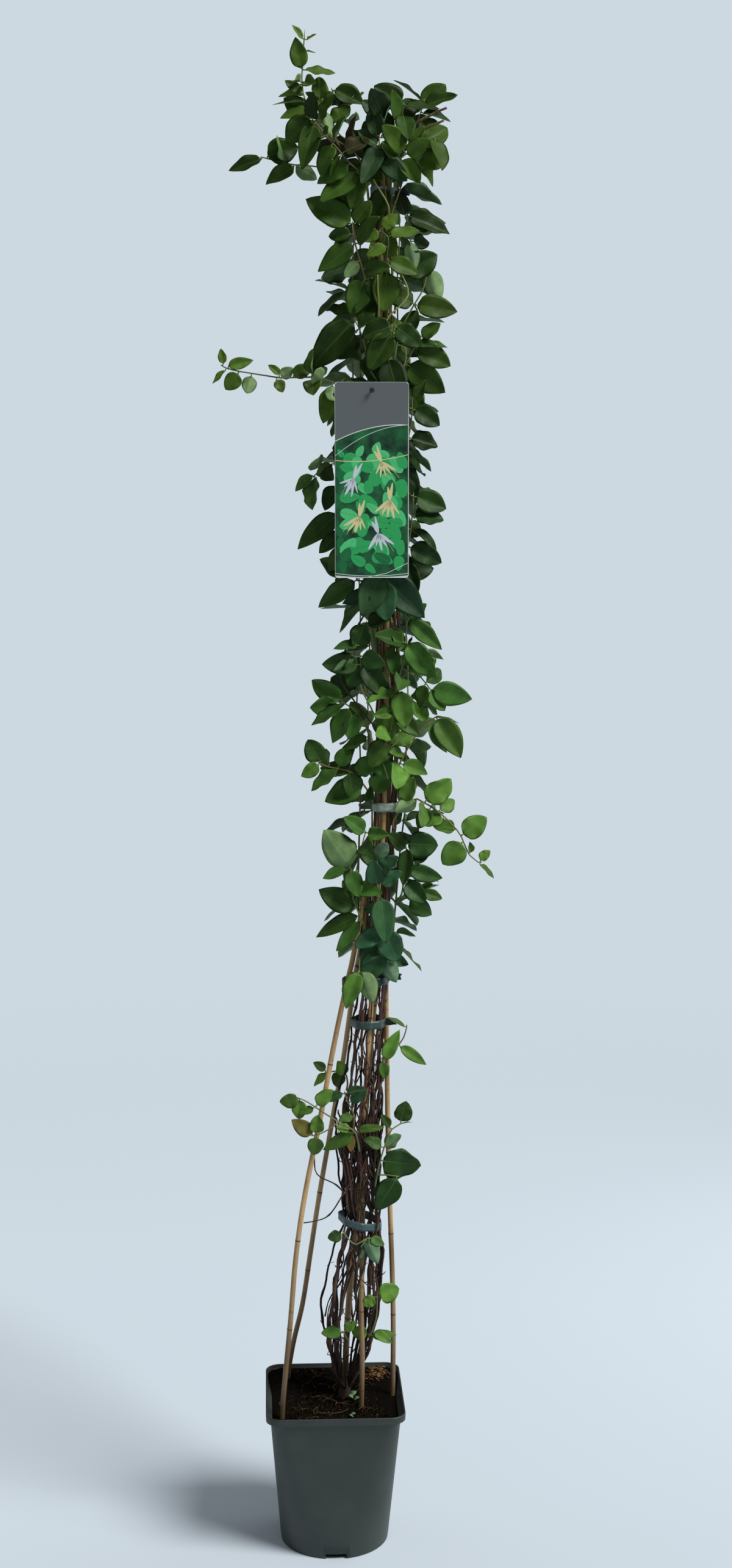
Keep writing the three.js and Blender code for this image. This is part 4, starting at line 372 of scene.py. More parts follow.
def read_plant(node):
    """Leaves and stems of a leafy CAD node."""
    points, neighbours = welded(node)
    ends = [index for index, near in enumerate(neighbours)
            if len(near) == 3 and all(near - {one} <= neighbours[one] for one in near)]
    leaves = []
    seen = set()
    stem_ends = []
    for end in ends:
        if longest_edge(points, sorted(neighbours[end])) < STALK_EDGE:
            stem_ends.append(end)
            continue
        leaf = read_leaf(points, neighbours, end)
        if leaf:
            leaves.append(leaf)
            seen |= leaf["used"]
    stems = [{"path": [points[end]], "radii": [0.0], "ring": neighbours[end], "done": False}
             for end in stem_ends]
    seen |= set(stem_ends)
    moving = True
    while moving:
        moving = False
        for stem in sorted(stems, key=lambda one: len(one["path"])):
            while not stem["done"]:
                ring = stem["ring"]
                fresh = beyond(neighbours, ring, seen)
                if len(fresh) > 4:
                    break
                centre, radius = ring_size(points, ring)
                stem["path"].append(centre)
                stem["radii"].append(radius)
                seen |= set(ring)
                moving = True
                if len(fresh) == 3:
                    stem["ring"] = fresh
                    continue
                if len(fresh) == 4:
                    stem["path"].append(ring_size(points, fresh)[0])
                    stem["radii"].append(radius)
                stem["done"] = True
    for stem in stems:
        stem["path"].reverse()
        stem["radii"].reverse()
    return leaves, stems


def read_tube(node, corners):
    """Middle line and radii of a plain tube, from its foot up."""
    points, neighbours = welded(node)
    ring = set(sorted(range(len(points)), key=lambda index: -points[index].z)[:corners])
    seen = set()
    path = []
    radii = []
    while len(ring) == corners:
        centre, radius = ring_size(points, ring)
        path.append(centre)
        radii.append(radius)
        seen |= ring
        ring = beyond(neighbours, ring, seen)
    return path[::-1], radii[::-1]


# The woody stems by the same rule as in the CAD source, in millimetres and degrees. This table:
# height, then x and y of the middle of the bundle.
BUNDLE = [
    (187, 14, 12), (225, 16, 9), (262, 19, 5), (324, 22, 2), (437, 36, 0), (555, 31, 0),
    (620, 37, 0), (697, 45, 0), (753, 50, 0), (876, 56, 0), (978, 64, 0), (1226, 67, 0),
    (1377, 59, 0), (1512, 56, 0), (1637, 59, 0), (1739, 62, 0), (1850, 60, 0),
]
# Bearing, bearing of the foot, top, radius of the base, share of the ring's radius.
WOOD = [
    (60, 36, 1560, 1.9, 1), (76, 52, 1770, 3.2, 1), (92, 68, 1240, 1.9, 1),
    (108, 132, 1765, 1.9, 1), (125, 150, 1480, 1.9, 1), (226, 205, 1765, 3.6, 1),
    (248, 232, 1620, 2.6, 1), (308, 318, 1770, 1.9, 1), (320, 329, 1350, 3, 1),
    (332, 341, 1765, 1.9, 1), (345, 353, 1500, 1.9, 1), (359, 363, 1765, 2.8, 1),
    (372, 380, 1690, 1.9, 1), (272, 262, 760, 1.9, 1), (190, 190, 630, 1.9, 0.62),
    (210, 214, 880, 1.9, 0.75), (236, 232, 630, 1.9, 0.62), (338, 338, 710, 1.9, 0.62),
    (352, 352, 630, 1.9, 0.62), (176, 172, 880, 1.9, 1),
]
# Height, radius of the ring of stems, how much a stem strays from it.
WOOD_RING = [
    (200, 4, 0), (225, 16, 0.1), (262, 26, 0.1), (324, 37, 0.12), (385, 31, 0.12), (437, 22, 0),
    (495, 25, 0.1), (555, 29, 0.12), (620, 24, 0.08), (697, 18.5, 0), (753, 17, 0), (876, 16, 0),
    (978, 15.5, 0), (1226, 15.5, 0), (1377, 15.5, 0), (1512, 15.5, 0), (1637, 15.5, 0),
    (1739, 15.5, 0), (1763, 15, 0),
]
# From one stem at a height to another stem at a height.
CROSSINGS = [
    (5, 238, 15, 350), (6, 330, 13, 415), (9, 250, 7, 395), (11, 270, 8, 375), (6, 455, 13, 600),
    (13, 470, 7, 590), (5, 460, 6, 575), (7, 480, 9, 620), (2, 260, 0, 390),
]
# Stem, height of the root, the rest of the route, first and last radius, height of the far root.
BRANCHES = [
    (5, 1244, ((39, -25, 1222), (18, -25, 1185), (10, -25, 1157), (11, -25, 1138), (33, -24, 1105)),
     1.2, 1.1, 1078),
    (11, 1749, ((82, -14, 1770), (96, -28, 1807), (122, -28, 1824), (138, -28, 1831)), 2.1, 1.6, None),
    (9, 1747, ((84, -26, 1776), (109, -36, 1803), (134, -36, 1815)), 2, 1.5, None),
    (5, 468, ((3, -21, 487), (-22, -21, 502), (-26, -21, 527)), 1.1, 0.7, None),
    (6, 496, ((9, -33, 475), (-7, -32, 451), (-22, -30, 443), (-40, -30, 440)), 1.1, 0.7, None),
]


def look_up(table, key):
    """Values of a table of rows (key, a, b, ...) at a key, straight between rows."""
    if key <= table[0][0]:
        return table[0][1:]
    for low, high in zip(table, table[1:]):
        if key <= high[0]:
            share = (key - low[0]) / (high[0] - low[0])
            return tuple(a + (b - a) * share for a, b in zip(low[1:], high[1:]))
    return table[-1][1:]


def seeded(seed):
    """The CAD source's own random numbers from 0 to 1."""
    state = seed
    mask = 0xFFFFFFFF
    while True:
        state = (state + 0x6D2B79F5) & mask
        t = ((state ^ (state >> 15)) * (state | 1)) & mask
        t = ((t + (((t ^ (t >> 7)) * (t | 61)) & mask)) & mask) ^ t
        yield (t ^ (t >> 14)) / 4294967296


def bundle_middle(z):
    """Middle of the bundle at a height in metres."""
    x, y = look_up(BUNDLE, z / MM)
    return Vector((x * MM, y * MM, z))


def bundle_point(z, radius, bearing):
    x, y = look_up(BUNDLE, z)
    angle = math.radians(bearing)
    return Vector((x + radius * math.cos(angle), y + radius * math.sin(angle), z)) * MM


def wood_route(index):
    bearing, foot, top, _, share = WOOD[index]
    numbers = seeded(100 + index)
    route = []
    for z, ring, varies in WOOD_RING:
        if z >= top:
            break
        radius = share * ring * (1 + varies * 2 * (next(numbers) - 0.5))
        sway = varies * 50 * (next(numbers) - 0.5)
        route.append(bundle_point(z, radius, (foot if z < 300 else bearing) + sway))
    return route


def wood_radius(base, z):
    share = max(0.0, (437 * MM - z) / (250 * MM))
    return (1.9 + (base - 1.9) * min(1.0, share * 1.4)) * MM


def at_height(route, z):
    """Point on a route at a height in millimetres."""
    level = z * MM
    index = next((i for i, point in enumerate(route) if point.z >= level), len(route) - 1)
    index = max(index, 1)
    low, high = route[index - 1], route[index]
    return low.lerp(high, (level - low.z) / (high.z - low.z))


# ------------------------------------------------------------------ mesh building

class Mesh:
    """Collects points, faces, UVs, tints and materials, then becomes one object."""

    def __init__(self):
        self.points = []
        self.faces = []
        self.uvs = []
        self.tints = []
        self.slots = []

    def add(self, points, faces, uvs, tint, slot):
        """Adds a shell; its tint and its slot may be lists with one for each face."""
        first = len(self.points)
        self.points.extend(tuple(point) for point in points)
        for index, face in enumerate(faces):
            self.faces.append([first + corner for corner in face])
            self.uvs.extend(uvs[corner] for corner in face)
            self.tints.extend([tint[index] if isinstance(tint, list) else tint] * len(face))
            self.slots.append(slot[index] if isinstance(slot, list) else slot)

    def build(self, name, materials, smooth=True):
        data = bpy.data.meshes.new(name)
        data.from_pydata(self.points, [], self.faces)
        layer = data.uv_layers.new(name="UVMap")
        layer.data.foreach_set("uv", np.array(self.uvs, dtype=np.float32).ravel())
        colors = data.color_attributes.new("Tint", "FLOAT_COLOR", "CORNER")
        rows = np.ones((len(self.tints), 4), dtype=np.float32)
        rows[:, :3] = np.array(self.tints, dtype=np.float32)
        colors.data.foreach_set("color", rows.ravel())
        for material in materials:
            data.materials.append(material)
        data.polygons.foreach_set("material_index", self.slots)
        data.polygons.foreach_set("use_smooth", [smooth] * len(data.polygons))
        data.update()
        piece = bpy.data.objects.new(name, data)
        bpy.context.scene.collection.objects.link(piece)
        return piece


def finish_piece(piece, *nodes):
    """The piece stands for these CAD nodes: it hangs on the root body and hides them."""
    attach(piece, "root")
    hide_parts(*nodes)


def ring_faces(rings, count, closed=False):
    """Faces from each ring of points to the next; the row of rings is closed or gets two caps."""
    faces = []
    for r in range(rings if closed else rings - 1):
        low, high = r * count, (r + 1) % rings * count
        for k in range(count):
            n = (k + 1) % count
            faces.append((low + k, low + n, high + n, high + k))
    if not closed:
        last = (rings - 1) * count
        faces.append(tuple(range(count - 1, -1, -1)))
        faces.append(tuple(range(last, last + count)))
    return faces


def add_rings(mesh, rings, closed=False):
    """Skin over rings of points."""
    count = len(rings[0])
    points = [point for ring in rings for point in ring]
    uvs = [(k / count, r / len(rings)) for r in range(len(rings)) for k in range(count)]
    mesh.add(points, ring_faces(len(rings), count, closed), uvs, PLAIN, 0)


def add_sheet(mesh, front, wide, shift, slot):
    """Thin sheet: rows of `wide` points, the same points moved by `shift`, and its edges."""
    points = front + [point + shift for point in front]
    size = len(front)
    end = size - wide
    faces = []
    for a in range(0, end, wide):
        b = a + wide
        for k in range(wide - 1):
            faces.append((a + k, b + k, b + k + 1, a + k + 1))
            faces.append((size + a + k + 1, size + b + k + 1, size + b + k, size + a + k))
        faces.append((a, size + a, size + b, b))
        faces.append((b - 1, b + wide - 1, size + b + wide - 1, size + b - 1))
    for a in range(wide - 1):
        faces.append((a + 1, size + a + 1, size + a, a))
        faces.append((end + a, size + end + a, size + end + a + 1, end + a + 1))
    mesh.add(points, faces, [(0, 0)] * len(points), PLAIN, slot)


def cut_away(piece, cutter):
    """Takes the cutter out of the piece, and then the cutter out of the scene."""
    modifier = piece.modifiers.new("cut", "BOOLEAN")
    modifier.operation = "DIFFERENCE"
    modifier.solver = "EXACT"
    modifier.object = cutter
    bpy.context.view_layer.objects.active = piece
    bpy.ops.object.modifier_apply(modifier=modifier.name)
    bpy.data.objects.remove(cutter)


def smooth_path(points, radii, spacing):
    """Catmull-Rom curve through points, with a point about every `spacing`."""
    padded = [points[0] * 2 - points[1], *points, points[-1] * 2 - points[-2]]
    path = []
    sizes = []
    for i in range(len(points) - 1):
        p0, p1, p2, p3 = padded[i:i + 4]
        steps = max(1, round((p2 - p1).length / spacing))
        for k in range(steps):
            t = k / steps
            path.append(0.5 * (2 * p1 + (p2 - p0) * t + (2 * p0 - 5 * p1 + 4 * p2 - p3) * t * t
                               + (3 * p1 - p0 - 3 * p2 + p3) * t ** 3))
            sizes.append(radii[i] + (radii[i + 1] - radii[i]) * t)
    path.append(points[-1].copy())
    sizes.append(radii[-1])
    return path, sizes


def sweep(path, radii, sides, rough=0.0, rng=None):
    """Tube along a path, closed at both ends: points, faces and UVs (round, along)."""
    normal = UP.orthogonal() if abs((path[1] - path[0]).normalized().z) > 0.9 else UP.copy()
    points = []
    uvs = []
    total = sum((b - a).length for a, b in zip(path, path[1:]))
    run = 0.0
    for i, centre in enumerate(path):
        ahead = path[min(i + 1, len(path) - 1)]
        behind = path[max(i - 1, 0)]
        if i:
            run += (centre - path[i - 1]).length
        tangent = (ahead - behind).normalized()
        normal = (normal - normal.dot(tangent) * tangent).normalized()
        binormal = tangent.cross(normal)
        for k in range(sides):
            angle = 2 * math.pi * k / sides
            radius = radii[i] * (1 + (rough * (rng.random() - 0.5) if rough else 0))
            points.append(centre + (normal * math.cos(angle) + binormal * math.sin(angle)) * radius)
            uvs.append((k / sides, run / total))
    return points, ring_faces(len(path), sides), uvs


# ------------------------------------------------------------------ leaves and their stems

LEAF_ROWS = 13
LEAF_COLUMNS = 4  # on each side of the midrib
LEAF_THICKNESS = 0.32 * MM
TOP_SLOT, UNDER_SLOT, STEM_SLOT = 0, 1, 2
TONES = {
    "leaf_bright": ((0.086, 0.198, 0.030), (0.19, 0.31, 0.13)),
    "leaf_middle": ((0.044, 0.124, 0.021), (0.15, 0.26, 0.10)),
    "leaf_dark": ((0.018, 0.062, 0.013), (0.095, 0.18, 0.075)),
    "leaf_bluish": ((0.026, 0.088, 0.039), (0.125, 0.235, 0.135)),
}
YOUNG = (0.12, 0.21, 0.03)
STEM_TINT = (0.14, 0.165, 0.05)
WITHERED = {  # leaves of their own colour: node, place of the stalk in millimetres, upper, lower
    "spray_low_left": ((-31, 564, (0.13, 0.115, 0.026), (0.2, 0.18, 0.06)),),
    "spray_low_node": ((23, 558, (0.36, 0.24, 0.06), (0.40, 0.30, 0.12)),),
    "spray_leader": ((23, 1791, (0.050, 0.034, 0.014), (0.09, 0.07, 0.03)),
                     (-5, 1801, (0.17, 0.24, 0.06), (0.24, 0.33, 0.12))),
    "spray_head_left": ((14, 1777, (0.040, 0.040, 0.014), (0.08, 0.08, 0.03)),),
}


def blend_color(a, b, share):
    return tuple(x + (y - x) * share for x, y in zip(a, b))


def leaf_outline(t, broad):
    """Half width of a honeysuckle leaf at t from its base to its tip, as a share of the widest."""
    rise, fall = 0.55 - 0.13 * broad, 0.95 - 0.23 * broad
    peak = rise / (rise + fall)
    top = peak ** rise * (1 - peak) ** fall
    return (max(t, 0) ** rise) * (max(1 - t, 0) ** fall) / top


def leaf_colors(node, leaf, tone, rng):
    for x, z, upper, lower in WITHERED.get(node, ()):
        if (Vector((leaf["start"].x, leaf["start"].z)) - Vector((x, z)) * MM).length < 6 * MM:
            if leaf["length"] > 22 * MM:
                return upper, lower
    upper, lower = TONES[tone]
    vary = rng.uniform(0.5, 1.5)
    young = clamp((30 * MM - leaf["length"]) / (18 * MM)) * 0.6 + rng.random() * 0.14
    high = clamp((leaf["start"].z - 1.2) / 0.35)  # painted shade: leaves in the dense head are darkened as if the leaves around them shade them
    upper = tuple(part * vary * (1 - shade * high)
                  for part, shade in zip(blend_color(upper, YOUNG, young), (0.30, 0.37, 0.52)))
    lower = tuple(part * (0.8 + 0.2 * vary) for part in lower)
    return upper, lower


def add_leaf(mesh, leaf, colors, rng):
    """A blade that is bowed, folded along its midrib, twisted, waved at its edge and quilted."""
    start, tip, across, normal = leaf["start"], leaf["tip"], leaf["across"], leaf["normal"]
    chord = tip - start
    length = chord.length
    direction = chord / length
    half = leaf["width"] / 2 * 1.07
    broad = clamp((leaf["width"] / length - 0.45) / 0.4)
    middle = leaf["middle"] - start
    sag = (middle - direction * middle.dot(direction)).dot(normal)
    bow = max(min(sag, 0.06 * length), -0.02 * length) / 0.25
    fold = math.radians(rng.uniform(5, 32))
    wave = rng.uniform(0.03, 0.095) * leaf["width"]
    waves = rng.uniform(1.2, 2.4)
    phase = rng.uniform(0, 6.3)
    twist = rng.uniform(-0.45, 0.45)
    lopsided = rng.uniform(0.92, 1.08)
    curl = rng.uniform(-0.03, 0.05) * length
    columns = [k / LEAF_COLUMNS for k in range(-LEAF_COLUMNS, LEAF_COLUMNS + 1)]
    wide = len(columns)
    rows = LEAF_ROWS - 1  # and the tip
    top = []
    under = []
    uvs = []
    for row in range(rows):
        t = row / rows
        centre = start + direction * (length * t)
        centre += normal * (bow * t * (1 - t) - curl * t * t * (1 - t) * 4)
        outline = leaf_outline(0.004 + 0.996 * t, broad)
        turn = twist * t
        side = across * math.cos(turn) + normal * math.sin(turn)
        lift = normal * math.cos(turn) - across * math.sin(turn)
        for s in columns:
            reach = abs(s) * half * outline * (lopsided if s > 0 else 2 - lopsided)
            rise = reach * math.sin(fold) - 0.4 * MM * (1 - abs(s)) * min(1, outline)
            ripple = math.sin(waves * 2 * math.pi * t + phase + 2 * (s > 0))
            rise += wave * outline * abs(s) ** 1.5 * ripple
            quilt = math.sin(2 * math.pi * (VEIN_PAIRS * t - 0.9 * abs(s)))
            rise += 0.3 * MM * quilt * 4 * abs(s) * (1 - abs(s)) * outline
            point = centre + side * (math.copysign(reach, s) * math.cos(fold)) + lift * rise
            top.append(point)
            inner = (1 - s * s) * min(1.0, 3 * outline)
            rib = 0.5 * MM * (1 - t) * max(0.0, 1 - 3 * abs(s))
            under.append(point - lift * (LEAF_THICKNESS * inner + rib * min(1.0, 2 * outline)))
            uvs.append((0.5 + 0.5 * s * max(outline, 0.25), t))
    points = list(top)
    below = []
    for index, point in enumerate(under):
        row, column = divmod(index, wide)
        if column in (0, wide - 1) or row == 0:
            below.append(index)
        else:
            below.append(len(points))
            points.append(point)
            uvs.append(uvs[index])
    end = len(points)
    points.append(tip.copy())
    uvs.append((0.5, 1.0))
    upper_faces = []
    lower_faces = []
    for row in range(rows):
        for column in range(wide - 1):
            a = row * wide + column
            if row == rows - 1:
                upper_faces.append((a + 1, a, end))
                lower_faces.append((below[a], below[a + 1], end))
            else:
                b, c, d = a + 1, a + wide + 1, a + wide
                upper_faces.append((a, d, c, b))
                lower_faces.append((below[a], below[b], below[c], below[d]))
    upper, lower = colors
    count = len(upper_faces)
    mesh.add(points, upper_faces + lower_faces, uvs, [upper] * count + [lower] * count,
             [TOP_SLOT] * count + [UNDER_SLOT] * count)


def nearest_on(paths, point):
    best = None
    for path in paths:
        for a, b in zip(path, path[1:]):
            span = b - a
            share = clamp((point - a).dot(span) / span.length_squared)
            spot = a + span * share
            distance = (spot - point).length
            if best is None or distance < best[0]:
                best = (distance, spot)
    return best[1]


def add_stalk(mesh, leaf, paths, tint):
    root = nearest_on(paths, leaf["start"])
    start = leaf["start"] - leaf["normal"] * (0.45 * MM)
    inside = start + (leaf["tip"] - leaf["start"]).normalized() * (0.12 * leaf["length"])
    inside -= leaf["normal"] * (0.2 * MM)
    size = 0.55 * MM + 0.012 * leaf["width"]
    path, radii = smooth_path([root, start, inside], [size * 1.25, size, size * 0.5], 2 * MM)
    mesh.add(*sweep(path, radii, 5), tint, STEM_SLOT)


def make_plant(node):
    rng = random.Random(node)
    leaves, stems = read_plant(node)
    tone = SLOT_OF[node]
    mesh = Mesh()
    tint = tuple(part * rng.uniform(0.75, 1.25) for part in STEM_TINT)
    paths = []
    for stem in stems:
        path, radii = smooth_path(stem["path"], stem["radii"], 6 * MM)
        paths.append(path)
        sizes = [0.78 * radius + 0.15 * MM for radius in radii]
        mesh.add(*sweep(path, sizes, 7, 0.08, rng), tint, STEM_SLOT)
    for leaf in leaves:
        add_leaf(mesh, leaf, leaf_colors(node, leaf, tone, rng), rng)
        add_stalk(mesh, leaf, paths, blend_color(tint, (0.1, 0.18, 0.04), 0.5))
    piece = mesh.build(f"fine_{node}", [LEAF_TOP, LEAF_UNDER, GREEN_STEM])
    finish_piece(piece, node)


# ------------------------------------------------------------------ canes and wood

CANE_SIDES = 14
LONGEST_CANE = 1700 * MM
# Across a ring of the cane: height in millimetres, share of the cane's radius.
CANE_RING = ((-0.9, 0.98), (-0.4, 1.03), (0.0, 1.0), (0.35, 1.04), (0.8, 0.98))


def make_cane(node):
    rng = random.Random(node)
    path, radii = read_tube(node, 6)
    fine, _ = smooth_path(path, radii, 12 * MM)
    radius = max(radii) * 0.96
    mesh = Mesh()
    rings = []
    place = rng.uniform(40, 120) * MM
    while place < LONGEST_CANE:
        rings.append(place)
        place += rng.uniform(95, 165) * MM
    arcs = np.cumsum([0] + [(b - a).length for a, b in zip(fine, fine[1:])])
    sizes = []
    for run in arcs:
        near = min(abs(run - ring) for ring in rings)
        swell = 0.03 * max(0, 1 - near / (9 * MM))
        sizes.append(radius * (0.955 + 0.01 * math.sin(run * 60) + swell))
    mesh.add(*sweep(fine, sizes, CANE_SIDES), PLAIN, 0)
    for ring in rings:
        if ring > arcs[-1] - 10 * MM:
            continue
        index = int(np.searchsorted(arcs, ring))
        low, high = fine[index - 1], fine[index]
        spot = low.lerp(high, (ring - arcs[index - 1]) / (arcs[index] - arcs[index - 1]))
        way = (high - low).normalized()
        line = [spot + way * (height * MM) for height, _ in CANE_RING]
        mesh.add(*sweep(line, [radius * size for _, size in CANE_RING], CANE_SIDES), PLAIN, 1)
    piece = mesh.build(f"fine_{node}", [BAMBOO, BAMBOO_RING])
    finish_piece(piece, node)


def knotted(path, radii, rng, sway, spacing=9):
    """Fine, uneven version of a woody stem's route, with a knot here and there."""
    fine, fat = smooth_path(path, radii, spacing * MM)
    a, b, c = (rng.uniform(0, 6.3) for _ in range(3))
    moved = []
    for point in fine:
        shift = sway * (1.0 if point.z < 0.72 else 0.4)
        way = Vector((math.cos(point.z * 62 + a), math.sin(point.z * 49 + b), 0))
        way += 0.5 * Vector((math.sin(point.z * 151 + c), math.cos(point.z * 137 + a), 0))
        moved.append(point + way * shift)
    knots = [rng.uniform(0, len(fine)) for _ in range(max(1, len(fine) // 6))]
    sizes = []
    for index, size in enumerate(fat):
        near = min(abs(index - knot) for knot in knots)
        sizes.append(size * (1 + 0.5 * max(0.0, 1 - near / 1.2)))
    return moved, sizes


BARK_SLOT, RUNNER_SLOT = 0, 1
# The wood's own finer stems, in millimetres and degrees.
TRUNK = Vector((14.5, 11, 0)) * MM
TRUNK_RINGS = ((150, 6.4), (172, 7.4), (186, 7.8), (196, 6.6), (206, 5.2), (214, 3.4))
LEADS = ((0.12, 178), (0.35, 195))  # from the trunk to a stem: share of the way, height
# Side stems that thicken the bundle, most at its dark middle: lowest, highest, count, size.
TANGLE = ((215, 430, 44, 0.9), (440, 585, 110, 1.35), (560, 700, 36, 0.8), (690, 800, 14, 0.8))
# Side stems in front of the front cane: lowest, highest, count.
FRONT_TANGLE = ((330, 470, 9), (425, 600, 34), (575, 700, 8))
FRONT_WOOD = (5, 6, 7, 8, 9, 13, 14, 15, 16)  # the stems in front, which those join
# Young green runners in front of the column: bearing, lowest, highest.
RUNNERS = ((236, 1215, 1700), (252, 1330, 1735), (268, 1190, 1560), (284, 1400, 1730),
           (300, 1240, 1660), (228, 1000, 1200), (292, 980, 1180))
CURLS = 60


def make_wood():
    rng = random.Random("wood")
    mesh = Mesh()
    routes = [wood_route(index) for index in range(len(WOOD))]
    for (_, _, _, base, share), route in zip(WOOD, routes):
        add_wood(mesh, rng, route, base, share)
    for start, low, end, high in CROSSINGS:
        add_crossing(mesh, rng, at_height(routes[start], low), at_height(routes[end], high), 1.15)
    for stem, z, route, first, last, back in BRANCHES:
        points = [at_height(routes[stem], z), *(Vector(spot) * MM for spot in route)]
        if back:
            points.append(at_height(routes[stem], back))
        steps = len(points) - 1
        radii = [(first + (last - first) * k / steps) * 0.92 * MM for k in range(len(points))]
        fine, fat = knotted(points, radii, rng, 0.25 * MM, 6)
        mesh.add(*sweep(fine, fat, 8, 0.2, rng), PLAIN, BARK_SLOT)
    add_tangle(mesh, rng, routes)
    add_front_tangle(mesh, rng, routes)
    add_runners(mesh, rng)
    add_curls(mesh, rng, routes)
    trunk = [TRUNK + UP * (z * MM) for z, _ in TRUNK_RINGS]
    sizes = [size * MM for _, size in TRUNK_RINGS]
    mesh.add(*sweep(trunk, sizes, 14, 0.35, rng), PLAIN, BARK_SLOT)
    piece = mesh.build("fine_woody_stems", [BARK, GREEN_STEM])
    finish_piece(piece, "woody_stems")


def add_wood(mesh, rng, route, base, share):
    """One of the thick stems, from the trunk up, greener in the leaves."""
    low = route[0]
    lead = [Vector((TRUNK.x + (low.x - TRUNK.x) * part, TRUNK.y + (low.y - TRUNK.y) * part, z * MM))
            for part, z in LEADS]
    radii = [wood_radius(base, point.z) for point in [*lead, *route]]
    radii[-1] = 0.9 * MM
    slim = rng.uniform(0.56, 0.84)
    fine, fat = knotted([*lead, *route], [slim * size for size in radii], rng, 1.8 * MM * share)
    points, faces, uvs = sweep(fine, fat, 8, 0.25, rng)
    greens = rng.uniform(0.5, 1.0)
    tone = rng.uniform(0.5, 1.4)
    tints = []
    for face in faces:
        green = clamp((points[face[0]].z - 1.22) / 0.25) * greens
        tints.append(blend_color((tone,) * 3, (2.6, 3.4, 1.9), green))
    mesh.add(points, faces, uvs, tints, BARK_SLOT)
    add_spurs(mesh, rng, fine, fat, tone)


def reach_to(routes, stems, z):
    """Whether these stems all reach a height in millimetres."""
    return min(routes[stem][-1].z for stem in stems) > z * MM


def add_tangle(mesh, rng, routes):
    for low, high, count, thick in TANGLE:
        for _ in range(count):
            z = rng.uniform(low, high - 40)
            rise = rng.uniform(35, min(110, high - z))
            a, b = rng.sample(range(len(WOOD)), 2)
            apart = abs((WOOD[a][0] - WOOD[b][0] + 180) % 360 - 180)
            if reach_to(routes, (a, b), z + rise) and apart <= 95:
                add_crossing(mesh, rng, at_height(routes[a], z), at_height(routes[b], z + rise),
                             thick * rng.uniform(0.55, 1.0))


def add_front_tangle(mesh, rng, routes):
    cane = read_tube("cane_front", 6)[0]
    for low, high, count in FRONT_TANGLE:
        for _ in range(count):
            z = rng.uniform(low, high - 60)
            rise = rng.uniform(55, min(120, high - z))
            a, b = rng.sample(FRONT_WOOD, 2)
            if reach_to(routes, (a, b), z + rise):
                start, end = at_height(routes[a], z), at_height(routes[b], z + rise)
                add_front_stem(mesh, rng, start, end, cane)


def add_runners(mesh, rng):
    foliage = leaf_tree()
    for bearing, low, high in RUNNERS:
        points = climbing_path(foliage, rng, bearing, low, high)
        if len(points) > 2:
            fine, fat = smooth_path(points, [1.05 * MM] * len(points), 9 * MM)
            shade = rng.uniform(0.75, 1.25)
            tint = tuple(part * shade for part in (0.24, 0.30, 0.085))
            mesh.add(*sweep(fine, fat, 7, 0.1, rng), tint, RUNNER_SLOT)


def add_curls(mesh, rng, routes):
    """Dry curly twigs, which stay inside the outline of the stems."""
    for _ in range(CURLS):
        stem = rng.randrange(len(WOOD))
        z = rng.choice((rng.uniform(225, 420), rng.uniform(445, 740)))
        if reach_to(routes, (stem,), z + 30):
            add_curl(mesh, rng, at_height(routes[stem], z))


def leaf_tree():
    """All the leaves and green stems, to keep other stems clear of them."""
    points = []
    faces = []
    for name, node in NODES.items():
        if name.startswith(("spray_", "runner_")):
            first = len(points)
            points.extend(vertex.co.copy() for vertex in node.data.vertices)
            faces.extend([first + corner for corner in face.vertices] for face in node.data.polygons)
    return BVHTree.FromPolygons(points, faces)


def climbing_path(foliage, rng, bearing, low, high):
    """Way up through the gaps among the leaves; it ends where they leave no room."""
    points = []
    z = low
    while z < high:
        step = rng.uniform(22, 40)
        for _ in range(60):
            spot = bundle_point(z + step, rng.uniform(20, 42), bearing + rng.uniform(-30, 30))
            start = points[-1] if points else spot
            if all(foliage.find_nearest(start.lerp(spot, k / 8))[3] > 2.6 * MM for k in range(9)):
                points.append(spot)
                break
        else:
            if len(points) > 2:
                break
            points = []
        z += step
    return points


def add_spurs(mesh, rng, path, radii, tone):
    """Short dry stubs at the knots of a woody stem."""
    index = rng.randrange(4, 8)
    while index < len(path) - 2 and path[index].z < 0.78:
        angle = rng.uniform(0, 2 * math.pi)
        away = Vector((math.cos(angle), math.sin(angle), rng.uniform(0.2, 1.3))).normalized()
        length = rng.uniform(2.5, 6.5) * MM
        size = min(radii[index] * 0.6, 0.9 * MM)
        bend = away + Vector((rng.uniform(-0.4, 0.4), rng.uniform(-0.4, 0.4), 0.3))
        spots = [path[index], path[index] + away * length * 0.6, path[index] + bend * length]
        mesh.add(*sweep(spots, [size, size * 0.8, size * 0.45], 5), (tone,) * 3, BARK_SLOT)
        index += rng.randrange(2, 7)


def add_crossing(mesh, rng, start, end, radius):
    """Thin stem from one woody stem to another, out on the ring of stems in between."""
    points = [start]
    reach = sum((point - bundle_middle(point.z)).length for point in (start, end)) / 2
    for share in (0.33, 0.67):
        spot = start.lerp(end, share)
        middle = bundle_middle(spot.z)
        away = spot - middle
        if away.length > 1e-6:
            away = away.normalized() * reach * rng.uniform(0.86, 1.02)
        points.append(middle + away)
    points.append(end)
    fine, fat = knotted(points, [radius * MM] * 4, rng, 0.8 * MM, 7)
    mesh.add(*sweep(fine, fat, 6, 0.2, rng), (rng.uniform(0.6, 1.5),) * 3, BARK_SLOT)


